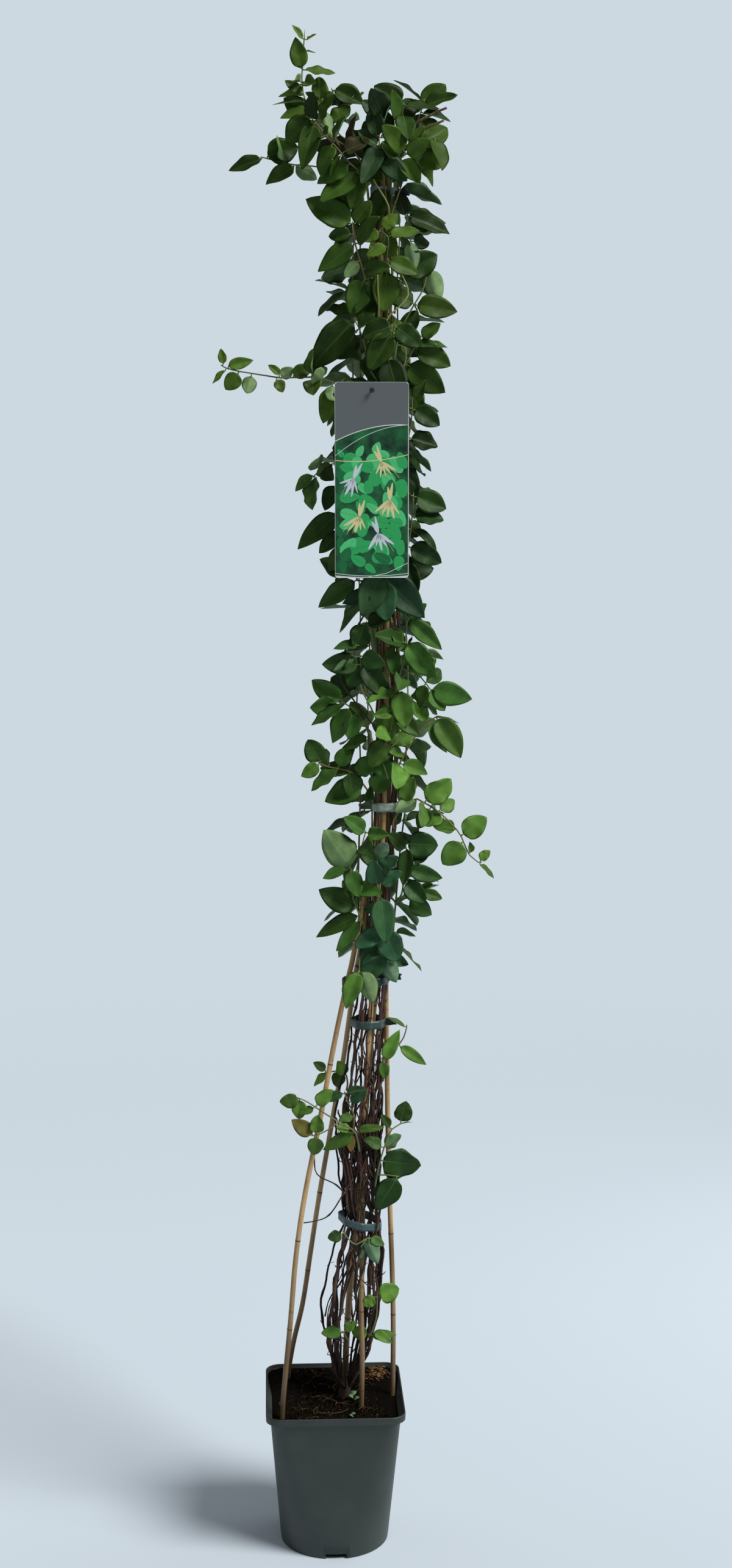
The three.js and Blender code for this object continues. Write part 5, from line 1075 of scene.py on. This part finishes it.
def add_front_stem(mesh, rng, start, end, cane):
    """Thin stem from one woody stem to another that passes in front of the cane."""
    points = [start]
    for share in (0.3, 0.5, 0.7):
        spot = start.lerp(end, share)
        front = at_height(cane, spot.z / MM)
        reach = 1.0 if share == 0.5 else 0.8
        spot.y += (front.y - rng.uniform(5.5, 9) * MM - spot.y) * reach
        spot.x += rng.uniform(-3, 3) * MM
        points.append(spot)
    points.append(end)
    size = rng.uniform(0.75, 1.5) * MM
    fine, fat = knotted(points, [size] * 5, rng, 0.8 * MM, 7)
    mesh.add(*sweep(fine, fat, 6, 0.2, rng), (rng.uniform(0.5, 1.3),) * 3, BARK_SLOT)


def add_curl(mesh, rng, start):
    inward = (bundle_middle(start.z) - start).normalized()
    side = inward.cross(UP)
    reach = rng.uniform(8, 26) * MM
    bend = rng.choice((-1, 1))
    points = [start]
    for k in range(1, 6):
        share = k / 5
        spot = start + side * (bend * reach * math.sin(share * 2.2))
        spot += inward * (reach * 0.5 * share * share)
        points.append(spot + UP * (reach * share * rng.uniform(0.7, 1.1)))
    fine, fat = smooth_path(points, [0.75 * MM - 0.09 * MM * k for k in range(6)], 4 * MM)
    mesh.add(*sweep(fine, fat, 5), PLAIN, BARK_SLOT)


# ------------------------------------------------------------------ pot and soil

def rounded_outline(half_x, half_y, corner, per_corner):
    """Closed outline of a rectangle with round corners."""
    outline = []
    for i in range(4 * per_corner):
        quarter, step = divmod(i, per_corner)
        angle = math.radians((quarter + step / (per_corner - 1)) * 90)
        sign_x = 1 if quarter in (0, 3) else -1
        sign_y = 1 if quarter < 2 else -1
        outline.append((sign_x * (half_x - corner) + corner * math.cos(angle),
                        sign_y * (half_y - corner) + corner * math.sin(angle)))
    return outline


def rounded_square(half, corner, z, per_corner=12):
    return [Vector((x, y, z)) for x, y in rounded_outline(half, half, corner, per_corner)]


def pot_section(z, inset=0.0):
    """Half width and corner radius of the pot's wall at a height under its rim."""
    share = z / NECK_HEIGHT
    half = POT_FOOT + (POT_NECK - POT_FOOT) * share
    corner = POT_FOOT + (POT_CORNER - 2 * MM - POT_FOOT) * share
    return half - inset, max(corner - inset, 3 * MM)


OUTER_LEVELS = (0, 0.6, 3, 30, 60, 90, 120, 150, 175)  # of the wall, in millimetres
INNER_LEVELS = (150, 100, 50, 2.5)
FOOT_BEVEL = 0.6 * MM
LIP = (  # half width and height round the turned-out lip
    (POT_NECK + 0.4 * MM, NECK_HEIGHT - 0.2 * MM), (POT_RIM - 1.2 * MM, NECK_HEIGHT),
    (POT_RIM - 0.3 * MM, NECK_HEIGHT + 0.4 * MM), (POT_RIM - 0.2 * MM, NECK_HEIGHT + 1.2 * MM),
    (POT_RIM, POT_HEIGHT - 1.2 * MM), (POT_RIM - 0.3 * MM, POT_HEIGHT - 0.3 * MM),
    (POT_RIM - 1 * MM, POT_HEIGHT), (POT_RIM - 1.8 * MM, POT_HEIGHT - 0.2 * MM),
    (POT_RIM - 2.2 * MM, POT_HEIGHT - 1 * MM), (POT_RIM - 2.4 * MM, NECK_HEIGHT + 2.4 * MM),
    (POT_NECK - POT_WALL, NECK_HEIGHT),
)
# Cutters: a drain notch in the foot and a slot in the rim.
NOTCH = (27, 9, 14)
NOTCH_OUT = 70.5 * MM
RIM_SLOT = (8, 8, 3)


def make_pot():
    mesh = Mesh()
    rings = []
    for z in [*(level * MM for level in OUTER_LEVELS), NECK_HEIGHT - 1 * MM]:
        bevel = 0.0 if z else FOOT_BEVEL
        half, corner = pot_section(z)
        rings.append(rounded_square(half - bevel, corner - bevel, z))
    for half, z in LIP:
        rings.append(rounded_square(half, POT_CORNER + (half - POT_RIM), z))
    for level in INNER_LEVELS:
        half, corner = pot_section(level * MM, POT_WALL)
        rings.append(rounded_square(half, corner, level * MM))
    add_rings(mesh, rings)
    piece = mesh.build("fine_pot", [POT_PLASTIC])
    cut_pot(piece)
    finish_piece(piece, "pot")


def cut_pot(piece):
    """Drain notches in the foot and slots in the rim, as in the CAD pot."""
    long, short, high = NOTCH
    cuts = [(Vector((0, -NOTCH_OUT, 0)), NOTCH), (Vector((NOTCH_OUT, 0, 0)), (short, long, high)),
            (Vector((0, NOTCH_OUT, 0)), NOTCH), (Vector((-NOTCH_OUT, 0, 0)), (short, long, high))]
    for side in (-1, 1):
        cuts.append((Vector((side * POT_RIM, 0, POT_HEIGHT - POT_RIM_HEIGHT / 2)), RIM_SLOT))
    for place, size in cuts:
        bpy.ops.mesh.primitive_cube_add(size=1, location=place)
        bpy.context.object.scale = Vector(size) * MM
        cut_away(piece, bpy.context.object)


def soil_level(y):
    """Height of the soil without its crumbs, which rises towards the back as in the CAD source."""
    share = clamp((y / MM - 15) / 57)
    return SOIL_TOP + 9 * MM * share * share * (3 - 2 * share)


def soil_edge(share):
    """Outline of the soil's top, out to the rim where it lies higher than the neck."""
    half, corner = pot_section(SOIL_TOP, SOIL_INSET)
    ring = []
    for point in rounded_square(half, corner, 0, SOIL_CORNER_POINTS):
        high = clamp((soil_level(point.y) - 192 * MM) / (2.5 * MM))
        reach = share * (1 + high * 0.064)
        ring.append(Vector((point.x * reach, point.y * reach, 0)))
    return ring


# Tints over the soil's own colour: of crumbs and fibres, and of wood chips and grit.
SOIL_TINTS = ((0.5, 0.5, 0.5), (1, 1, 1), (2.2, 1.9, 1.5), (4.5, 3.6, 2.7), (16, 13, 9))
CHIP_TINTS = ((22, 15, 9), (34, 26, 18), (14, 8, 5), (44, 38, 30))
SOIL_CORNER_POINTS = 16
SOIL_RINGS = 30
BUMPS = 9
CRUMBS, GRIT, CHIPS, FIBRES = 1500, 240, 170, 80
CHIP_PATCH = (62, 10, 8)  # middle in x and y, spread in x, spread in y
# Fallen green leaflets: x, y, turn, size.
SEEDLINGS = ((25, 4, 1.3, 9), (25, -3, 2.6, 8), (26, -10, 0.4, 8), (19, -57, 0.2, 8), (23, -60, 2.9, 6))


def make_soil():
    rng = random.Random("soil")
    half, corner = pot_section(SOIL_TOP, SOIL_INSET)
    rings = [rounded_square(*pot_section(3 * MM, SOIL_INSET), 3 * MM, SOIL_CORNER_POINTS),
             rounded_square(half, corner, SOIL_TOP - 5 * MM, SOIL_CORNER_POINTS)]
    bumps = [(rng.uniform(30, 90), rng.uniform(30, 90), rng.uniform(0, 6.3), rng.uniform(0.4, 1.0))
             for _ in range(BUMPS)]

    def place_on(x, y, up):
        rise = sum(size * math.sin(a * x + b * y + c) for a, b, c, size in bumps) * 0.7 * MM
        return Vector((x, y, soil_level(y) + rise + up * MM))

    for k in range(SOIL_RINGS):
        sunk = 0 if k else 2.0  # the edge lies lower
        rings.append([place_on(point.x, point.y, rng.uniform(-1.0, 1.0) - sunk)
                      for point in soil_edge(1 - k / SOIL_RINGS)])
    mesh = Mesh()
    add_rings(mesh, rings)
    for _ in range(CRUMBS):
        x, y = (rng.uniform(-0.96, 0.96) * half for _ in range(2))
        size = rng.choice((0.7, 1.0, 1.4, 1.9, 2.8)) * rng.uniform(0.7, 1.2) * MM
        lump(mesh, place_on(x, y, rng.uniform(-0.3, 1.2)), size, rng, rng.choice(SOIL_TINTS[:4]))
    for _ in range(GRIT):
        x, y = (rng.uniform(-0.95, 0.95) * half for _ in range(2))
        size = rng.uniform(0.4, 1.0) * MM
        lump(mesh, place_on(x, y, 1.2), size, rng, rng.choice((*CHIP_TINTS, (70, 68, 60))))
    middle, wide, deep = CHIP_PATCH
    for _ in range(CHIPS):
        x, y = rng.gauss(middle, wide) * MM, rng.gauss(middle, deep) * MM
        if abs(x) < 0.97 * half and abs(y) < 0.98 * half:
            add_chip(mesh, place_on(x, y, rng.uniform(0.6, 2.4)), rng.uniform(2, 5.5) * MM, rng)
    for _ in range(FIBRES):
        x, y = rng.uniform(-0.85, 0.8) * half, rng.uniform(-0.9, 0.95) * half
        add_fibre(mesh, place_on, x, y, rng)
    for x, y, turn, size in SEEDLINGS:
        add_seedling(mesh, place_on(x * MM, y * MM, 3), turn, size * MM)
    piece = mesh.build("fine_soil", [SOIL, new_material("seedling", (0.09, 0.20, 0.07), 0.5)])
    finish_piece(piece, "soil")


def lump(mesh, centre, size, rng, tint):
    """A crumb: an uneven eight-sided grain."""
    points = []
    for axis in ((1, 0, 0), (0, 1, 0), (-1, 0, 0), (0, -1, 0), (0, 0, 1), (0, 0, -1)):
        points.append(centre + Vector(axis) * size * rng.uniform(0.5, 1.1))
    faces = [(0, 1, 4), (1, 2, 4), (2, 3, 4), (3, 0, 4), (1, 0, 5), (2, 1, 5), (3, 2, 5), (0, 3, 5)]
    mesh.add(points, faces, [(0, 0)] * 6, tint, 0)


def add_chip(mesh, centre, length, rng):
    """A splinter of wood lying on the soil."""
    turn = rng.uniform(0, math.pi)
    way = Vector((math.cos(turn), math.sin(turn), rng.uniform(-0.3, 0.3))).normalized()
    width = length * rng.uniform(0.15, 0.4)
    path = [centre - way * length / 2, centre, centre + way * length / 2]
    mesh.add(*sweep(path, [width * 0.5, width, width * 0.4], 4), rng.choice(CHIP_TINTS), 0)


def add_fibre(mesh, place_on, x, y, rng):
    """A thin dry root that curls over the soil."""
    turn = rng.uniform(0, 2 * math.pi)
    step = rng.uniform(2.5, 5) * MM
    path = [place_on(x, y, 0.2)]
    for _ in range(rng.randrange(4, 10)):
        turn += rng.uniform(-0.7, 0.7)
        x, y = x + step * math.cos(turn), y + step * math.sin(turn)
        if max(abs(x), abs(y)) > 75 * MM:
            break
        path.append(place_on(x, y, rng.uniform(0.8, 2.8)))
    if len(path) > 3:
        size = rng.uniform(0.3, 0.95) * MM
        fine, fat = smooth_path(path, [size] * len(path), 3 * MM)
        mesh.add(*sweep(fine, fat, 5), rng.choice((*SOIL_TINTS[2:], (12, 12, 10))), 0)


def add_seedling(mesh, base, turn, size):
    """A green leaflet fallen on the soil."""
    way = Vector((math.cos(turn), math.sin(turn), 0.45)).normalized()
    side = way.cross(UP).normalized()
    points = []
    for k in range(7):
        t = k / 6
        half = 0.42 * size * math.sin(math.pi * min(1, t * 0.96 + 0.02)) ** 0.8 + 0.1 * MM
        centre = base + way * (size * t) + UP * (0.25 * size * math.sin(math.pi * t))
        points += [centre - side * half, centre - UP * (0.15 * half), centre + side * half]
    add_sheet(mesh, points, 3, UP * (-0.4 * MM), 1)


# ------------------------------------------------------------------ ties and label

TAPE_HEIGHT = 12 * MM
TIE_SLOPES = {"tie_low": -0.22}
TAPE_COLORS = {
    "tie_low": ((0.042, 0.075, 0.08), (0.02, 0.045, 0.042)),
    "tie_stems": ((0.035, 0.062, 0.058), (0.005, 0.010, 0.009)),
    "tie_canes": ((0.016, 0.045, 0.034), (0.006, 0.020, 0.016)),
    "tie_middle": ((0.26, 0.33, 0.29), (0.012, 0.025, 0.022)),
    "tie_top": ((0.20, 0.27, 0.32), (0.012, 0.018, 0.028)),
}


def hull(points):
    ordered = sorted(set(points))

    def chain(row):
        line = []
        for p in row:
            while len(line) > 1 and ((line[-1][0] - line[-2][0]) * (p[1] - line[-2][1])
                                     - (line[-1][1] - line[-2][1]) * (p[0] - line[-2][0])) <= 0:
                line.pop()
            line.append(p)
        return line[:-1]

    return chain(ordered) + chain(ordered[::-1])


def loop_points(outline, count):
    """Even points round a closed outline."""
    corners = [Vector(point) for point in outline]
    sides = [(corners[(i + 1) % len(corners)] - corner).length for i, corner in enumerate(corners)]
    total = sum(sides)
    spots = []
    for k in range(count):
        run = total * k / count
        i = 0
        while run > sides[i]:
            run -= sides[i]
            i += 1
        spots.append(corners[i].lerp(corners[(i + 1) % len(corners)], run / sides[i]))
    return spots


TAPE_LAYERS = 3
TAPE_ROWS = 7
TAPE_ROUND = 72  # points round a loop
END_COLUMNS, END_ROWS = 15, 6


def make_tie(node):
    """Wraps of tape round the hull of the CAD loop, with a loose end."""
    rng = random.Random(node)
    slope = TIE_SLOPES.get(node, 0.0)
    level = [(v.co.x, v.co.y, v.co.z - slope * v.co.x) for v in NODES[node].data.vertices]
    top = max(z for _, _, z in level)
    upper = [(round(x, 6), round(y, 6)) for x, y, z in level if z > top - 0.1 * MM]
    spots = loop_points(hull(upper), TAPE_ROUND)
    centre = sum(spots, Vector((0, 0))) / len(spots)
    mesh = Mesh()
    half = TAPE_HEIGHT / 2
    middle = top - half
    tilt = rng.uniform(-0.05, 0.02)
    for layer in range(TAPE_LAYERS):
        depth = (0.55 - 0.2 * layer) * MM
        shrink = 0.98 - 0.13 * layer
        offset = rng.uniform(-0.8, 0.8) * MM
        rings = []
        for row in range(TAPE_ROWS):
            share = row / (TAPE_ROWS - 1) * 2 - 1
            ring = []
            for k, spot in enumerate(spots):
                inward = (centre - spot).normalized()
                angle = 2 * math.pi * k / len(spots)
                crease = 0.18 * math.sin(5 * angle + 3 * share + layer)
                crease += 0.14 * math.sin(13 * angle + 5 * share)
                edge = half * shrink * (1 - 0.06 * (1 + math.sin(7 * angle + layer * 2)))
                place = spot + inward * (depth + (0.2 + crease) * 0.5 * MM)
                z = middle + share * edge + offset * (1 - abs(share)) + tilt * (spot.x - centre.x)
                z = min(max(z, middle - half), top) + slope * place.x
                ring.append(Vector((place.x, place.y, z)))
            rings.append(ring)
        add_band(mesh, rings, 0.25 * MM, centre)
    add_loose_end(mesh, rng, spots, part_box(node)[1][0], middle)
    body, end = TAPE_COLORS[node]
    tapes = [tape_material(f"{node}_tape", body, 0.32), tape_material(f"{node}_end", end, 0.35)]
    piece = mesh.build(f"fine_{node}", tapes)
    finish_piece(piece, node)


def add_band(mesh, rings, thickness, centre):
    """Closed band with a thickness, from rings low to high."""
    inner = [[point + Vector((centre.x - point.x, centre.y - point.y, 0)).normalized() * thickness
              for point in ring] for ring in rings]
    add_rings(mesh, rings + inner[::-1], closed=True)


def add_loose_end(mesh, rng, spots, right, middle):
    """Loose ragged end of the tape, out to x = `right`."""
    edge = max(spot.x for spot in spots)
    reach = right - edge
    if reach < 5 * MM:
        return
    y = next(spot.y for spot in spots if spot.x == edge)
    half = TAPE_HEIGHT / 2 - 0.8 * MM
    front = []
    for k in range(END_COLUMNS):
        share = k / (END_COLUMNS - 1)
        for row in range(END_ROWS):
            level = row / (END_ROWS - 1) * 2 - 1
            ragged = 1 - (0.25 if share > 0.75 else 0.04) * rng.random()
            x = edge - 1.5 * MM + (reach + 1.0 * MM) * share * (ragged if share > 0.9 else 1)
            ripple = 1.4 * math.sin(7 * share + level) * share
            z = middle + level * half * (1 - 0.25 * share + 0.08 * math.sin(9 * share + 2 * level))
            front.append(Vector((x, y + ripple * MM, z)))
    add_sheet(mesh, front, END_ROWS, Vector((0, 0.3 * MM, 0)), 1)


# The label's print, in millimetres from the middle of the card. Its inks are in slot order.
INKS = (
    ("white", (0.70, 0.75, 0.76)), ("head", (0.125, 0.145, 0.155)), ("field", (0.05, 0.26, 0.08)),
    ("leaf", (0.028, 0.40, 0.115)), ("leaf_pale", (0.085, 0.58, 0.21)), ("petal", (0.74, 0.68, 0.36)),
    ("leaf_deep", (0.008, 0.15, 0.05)), ("petal_pale", (0.62, 0.70, 0.78)),
)
WHITE, HEAD, FIELD, LEAF, PALE_LEAF, PETAL, DEEP_LEAF, PALE_PETAL = range(len(INKS))
CARD_THICKNESS = 0.76 * MM
CARD_CORNER = 3.5
CARD_EDGE = 0.4  # bare edge left of the print
HOLE_DROP = 10  # from the card's top to its hole
# How far each layer of print stands out from the card.
FIELD_OUT, LEAVES_OUT, LEAF_STEP, ARC_OUT, PETALS_OUT, LINES_OUT = 0.03, 0.05, 0.0012, 0.16, 0.18, 0.2
DARK_GAPS = ((-22, -92, 9, 9), (20, 44, 10, 8))  # places without leaves: x, z, half sizes
# Blossoms: x, z, ink, lean of their petals.
BLOSSOMS = ((-22, 2, PALE_PETAL, -0.5), (12, 22, PETAL, 0.3), (22, -24, PETAL, -0.15),
            (-15, -44, PETAL, -0.3), (8, -64, PALE_PETAL, 0.2))


def make_label():
    """Hanging card: grey head, white line, green field with a plain leaf and blossom print."""
    low, high = (Vector(corner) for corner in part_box("label"))
    width, depth, height = high - low
    lean = (depth - 0.8 * MM) / height
    middle = (low + high) / 2
    mesh = Mesh()

    def spot(x, z, out=0.0):
        """Place on the card, x and z in millimetres from its middle, out towards the front."""
        return middle + Vector((x, (lean * z - out) - CARD_THICKNESS / 2 / MM, z)) * MM

    def patch(outline, slot, out):
        points = [spot(x, z, out) for x, z in outline]
        mesh.add(points, [tuple(range(len(points)))], [(0, 0)] * len(points), PLAIN, slot)

    def ribbon(curve, thickness, slot, out):
        """Thin printed line along a curve."""
        rise = thickness / 2
        for (xa, za), (xb, zb) in zip(curve, curve[1:]):
            patch([(xa, za - rise), (xb, zb - rise), (xb, zb + rise), (xa, za + rise)], slot, out)

    half_w, half_h = width / MM / 2, height / MM / 2

    def arc(left, right, bend, steps=16):
        """Bent line right across the card."""
        shares = [k / steps for k in range(steps + 1)]
        return [(CARD_EDGE - half_w + (2 * half_w - 3 * CARD_EDGE) * t,
                 left + (right - left) * t + bend * 4 * t * (1 - t)) for t in shares]

    front = [spot(x, z) for x, z in rounded_outline(half_w, half_h, CARD_CORNER, 7)]
    add_rings(mesh, [[point + Vector((0, CARD_THICKNESS, 0)) for point in front], front])
    head_low = arc(47.0, 66.5, 6.5)
    patch([*head_low, (half_w - 0.3, half_h - 3), (half_w - 3, half_h - 0.3), (3 - half_w, half_h - 0.3),
           (0.3 - half_w, half_h - 3)], HEAD, FIELD_OUT)
    patch([*arc(3.0 - half_h, 3.0 - half_h, -2.2), *head_low[::-1]], FIELD, FIELD_OUT)
    rng = random.Random("label")
    print_foliage(patch, ribbon, rng)
    ribbon(arc(24.0, 31.0, -4.0), 0.9, PETAL, ARC_OUT)
    for x, z, ink, bend in BLOSSOMS:
        print_blossom(patch, ribbon, rng, x, z, ink, bend)
    ribbon(head_low, 1.1, WHITE, LINES_OUT)
    for line in (arc(29.5, 66.5, 9.0), arc(5.5 - half_h, 5.5 - half_h, -3.2),
                 [(-4, 1.2 - half_h), (18, 5.5 - half_h), (half_w - 1, 18 - half_h)]):
        ribbon(line, 0.7, WHITE, LINES_OUT)
    inks = [new_material(f"label_{name}", color, 0.35) for name, color in INKS]
    cloud_field(inks[FIELD])
    piece = mesh.build("fine_label", inks, smooth=False)
    bpy.ops.mesh.primitive_cylinder_add(vertices=24, radius=2.4 * MM, depth=8 * MM,
                                        location=spot(0, half_h - HOLE_DROP),
                                        rotation=(math.pi / 2, 0, 0))
    cut_away(piece, bpy.context.object)
    finish_piece(piece, "label")


def print_foliage(patch, ribbon, rng):
    """Scattered pairs of leaves with a midrib, over the whole field."""
    out = LEAVES_OUT
    for row in range(10):
        for column in range(5):
            x = -38 + 19 * column + rng.uniform(-6, 6) + (row % 2) * 5
            z = 46 - 16.5 * row + rng.uniform(-5, 5)
            if any(abs(x - gap_x) < wide and abs(z - gap_z) < high
                   for gap_x, gap_z, wide, high in DARK_GAPS):
                continue
            turn = rng.uniform(0, 6.3)
            ink = rng.choice((LEAF, LEAF, LEAF, PALE_LEAF, PALE_LEAF, DEEP_LEAF))
            for _ in range(rng.choice((1, 2, 2))):
                out += LEAF_STEP
                size, slim = rng.uniform(8, 13.5), rng.uniform(0.5, 0.72)
                while size > 5 and not print_leaf(patch, x, z, turn, size, ink, out, slim):
                    size *= 0.85
                rib = [(x, z), (x + size * 1.7 * math.cos(turn), z + size * 1.7 * math.sin(turn))]
                if in_field(rib, 1):
                    ribbon(rib, 0.3, LEAF if ink == DEEP_LEAF else DEEP_LEAF, out + 0.0005)
                turn += math.pi + rng.uniform(-0.7, 0.7)


def print_blossom(patch, ribbon, rng, x, z, ink, bend):
    """Five petals, two more that curl back, and thin threads below them."""
    for k in range(5):
        turn = -math.pi / 2 + bend + (k - 2) * 0.38
        print_leaf(patch, x, z, turn, rng.uniform(7.5, 12), ink, PETALS_OUT, rng.uniform(0.13, 0.2))
    print_leaf(patch, x, z, math.pi / 2 + bend, 11, ink, PETALS_OUT, 0.16)
    print_leaf(patch, x, z, math.pi / 2 + bend + 0.3, 8.5, ink, PETALS_OUT + 0.001, 0.22)
    for k in range(5):
        turn = -math.pi / 2 + bend * 1.4 + (k - 2) * 0.22
        far = rng.uniform(21, 29)
        dx, dz = far * math.cos(turn), far * math.sin(turn)
        if abs(x + dx) <= 42:
            thread = [(x, z), (x + dx * 0.6, z + dz * 0.5), (x + dx, z + dz)]
            ribbon(thread, 0.6, ink, PETALS_OUT + 0.01)


def in_field(outline, margin=0):
    """Whether an outline lies on the green field."""
    return all(abs(x) < 44 - margin and margin - 113 < z < 46 - 2 * margin + 0.2 * x for x, z in outline)


def cloud_field(material):
    graph = Graph(material)
    clouds = graph.ramp(graph.noise(60, 4), 0.3, 0.7)
    graph.color(graph.mix(clouds, (0.004, 0.025, 0.015), (0.016, 0.16, 0.055)))


def print_leaf(patch, x, z, turn, size, slot, out, slim):
    """Prints a leaf from its foot at x, z, if it lies on the green field; says whether it does."""
    outline = []
    for k in range(12):
        angle = 2 * math.pi * k / 12
        along = size * math.cos(angle) + size
        across = slim * size * math.sin(angle) * (1 - 0.3 * math.cos(angle))
        outline.append((x + along * math.cos(turn) - across * math.sin(turn),
                        z + along * math.sin(turn) + across * math.cos(turn)))
    inside = in_field(outline)
    if inside:
        patch(outline, slot, out)
    return inside


# ------------------------------------------------------------------ putting it together

for name in sorted(NODES):
    if name.startswith(("spray", "runner")):
        make_plant(name)
    elif name.startswith("cane"):
        make_cane(name)
    elif name.startswith("tie"):
        make_tie(name)
make_wood()
make_pot()
make_soil()
make_label()

DARK_PLASTIC = new_material("dark_plastic", (0.02, 0.024, 0.024), 0.4)
NODES["label_hanger"].data.materials.clear()
NODES["label_hanger"].data.materials.append(DARK_PLASTIC)


# ------------------------------------------------------------------ stage, light and camera

BACKDROP = (0.61, 0.69, 0.75)  # what the camera sees behind the plant
SUN = (3.25, (0.55, -0.40, 0.73), 26)  # strength, way to the light, its width in degrees
SKY = 0.22
SIDES = (((1.5, 0.9, 0.9), 6.0), ((-1.6, 0.7, 0.8), 2.5))  # place and power of the lights behind
LIT = Vector((0, 0, 0.5))  # where those point


def make_stage():
    bpy.ops.mesh.primitive_plane_add(size=60, location=(0, 0, 0))
    floor = bpy.context.object
    floor.name = "floor"
    floor.data.materials.append(floor_material())
    scene = bpy.context.scene
    scene.world = make_world()
    scene.view_settings.view_transform = "Standard"
    strength, way, width = SUN
    key = add_light("key", "SUN", strength, Vector(way))
    key.angle = math.radians(width)
    key.color = (1.0, 0.985, 0.95)
    for place, power in SIDES:
        side = add_light("side", "AREA", power, Vector(place) - LIT, Vector(place))
        side.size = 1.2


def add_light(name, kind, power, way, place=(0, 0, 0)):
    """Light that stands at a place and shines against the given way."""
    light = bpy.data.lights.new(name, kind)
    light.energy = power
    lamp = bpy.data.objects.new(name, light)
    lamp.location = place
    lamp.rotation_euler = (-way).to_track_quat("-Z", "Y").to_euler()
    bpy.context.scene.collection.objects.link(lamp)
    return light


def floor_material():
    """Pale cloth that fades out far from the pot, so that no horizon shows."""
    material = new_material("floor", (0.60, 0.68, 0.76), 0.85, 0.05)
    graph = Graph(material)
    reach = graph.node("ShaderNodeVectorMath", operation="LENGTH")
    graph.link(graph.place(), reach.inputs[0])
    clear = graph.node("ShaderNodeBsdfTransparent")
    fade = graph.node("ShaderNodeMixShader")
    graph.link(graph.ramp(reach.outputs["Value"], 0.9, 3.2), fade.inputs[0])
    graph.link(graph.shader.outputs[0], fade.inputs[1])
    graph.link(clear.outputs[0], fade.inputs[2])
    graph.link(fade.outputs[0], graph.tree.nodes["Material Output"].inputs["Surface"])
    return material


def make_world():
    """Soft grey studio light all round, with a paler backdrop in the view."""
    world = bpy.data.worlds.new("studio")
    world.use_nodes = True
    tree = world.node_tree
    room = tree.nodes["Background"]
    room.inputs["Color"].default_value = (0.93, 0.97, 1.0, 1)
    room.inputs["Strength"].default_value = SKY
    backdrop = tree.nodes.new("ShaderNodeBackground")
    backdrop.inputs["Color"].default_value = (*BACKDROP, 1)
    backdrop.inputs["Strength"].default_value = 1.0
    choice = tree.nodes.new("ShaderNodeMixShader")
    tree.links.new(tree.nodes.new("ShaderNodeLightPath").outputs["Is Camera Ray"], choice.inputs[0])
    tree.links.new(room.outputs[0], choice.inputs[1])
    tree.links.new(backdrop.outputs[0], choice.inputs[2])
    tree.links.new(choice.outputs[0], tree.nodes["World Output"].inputs["Surface"])
    return world


def make_camera():
    distance, height, tilt, turn, aside = 2.73, 1.39, math.radians(8), math.radians(-2.6), 0.042
    data = bpy.data.cameras.new("photo_view")
    data.lens = 50
    data.sensor_width = 36
    camera = bpy.data.objects.new("photo_view", data)
    camera.location = Matrix.Rotation(turn, 3, "Z") @ Vector((aside, -distance, height))
    camera.rotation_euler = (math.pi / 2 - tilt, 0, turn)
    bpy.context.scene.collection.objects.link(camera)
    bpy.context.scene.camera = camera


make_stage()
make_camera()
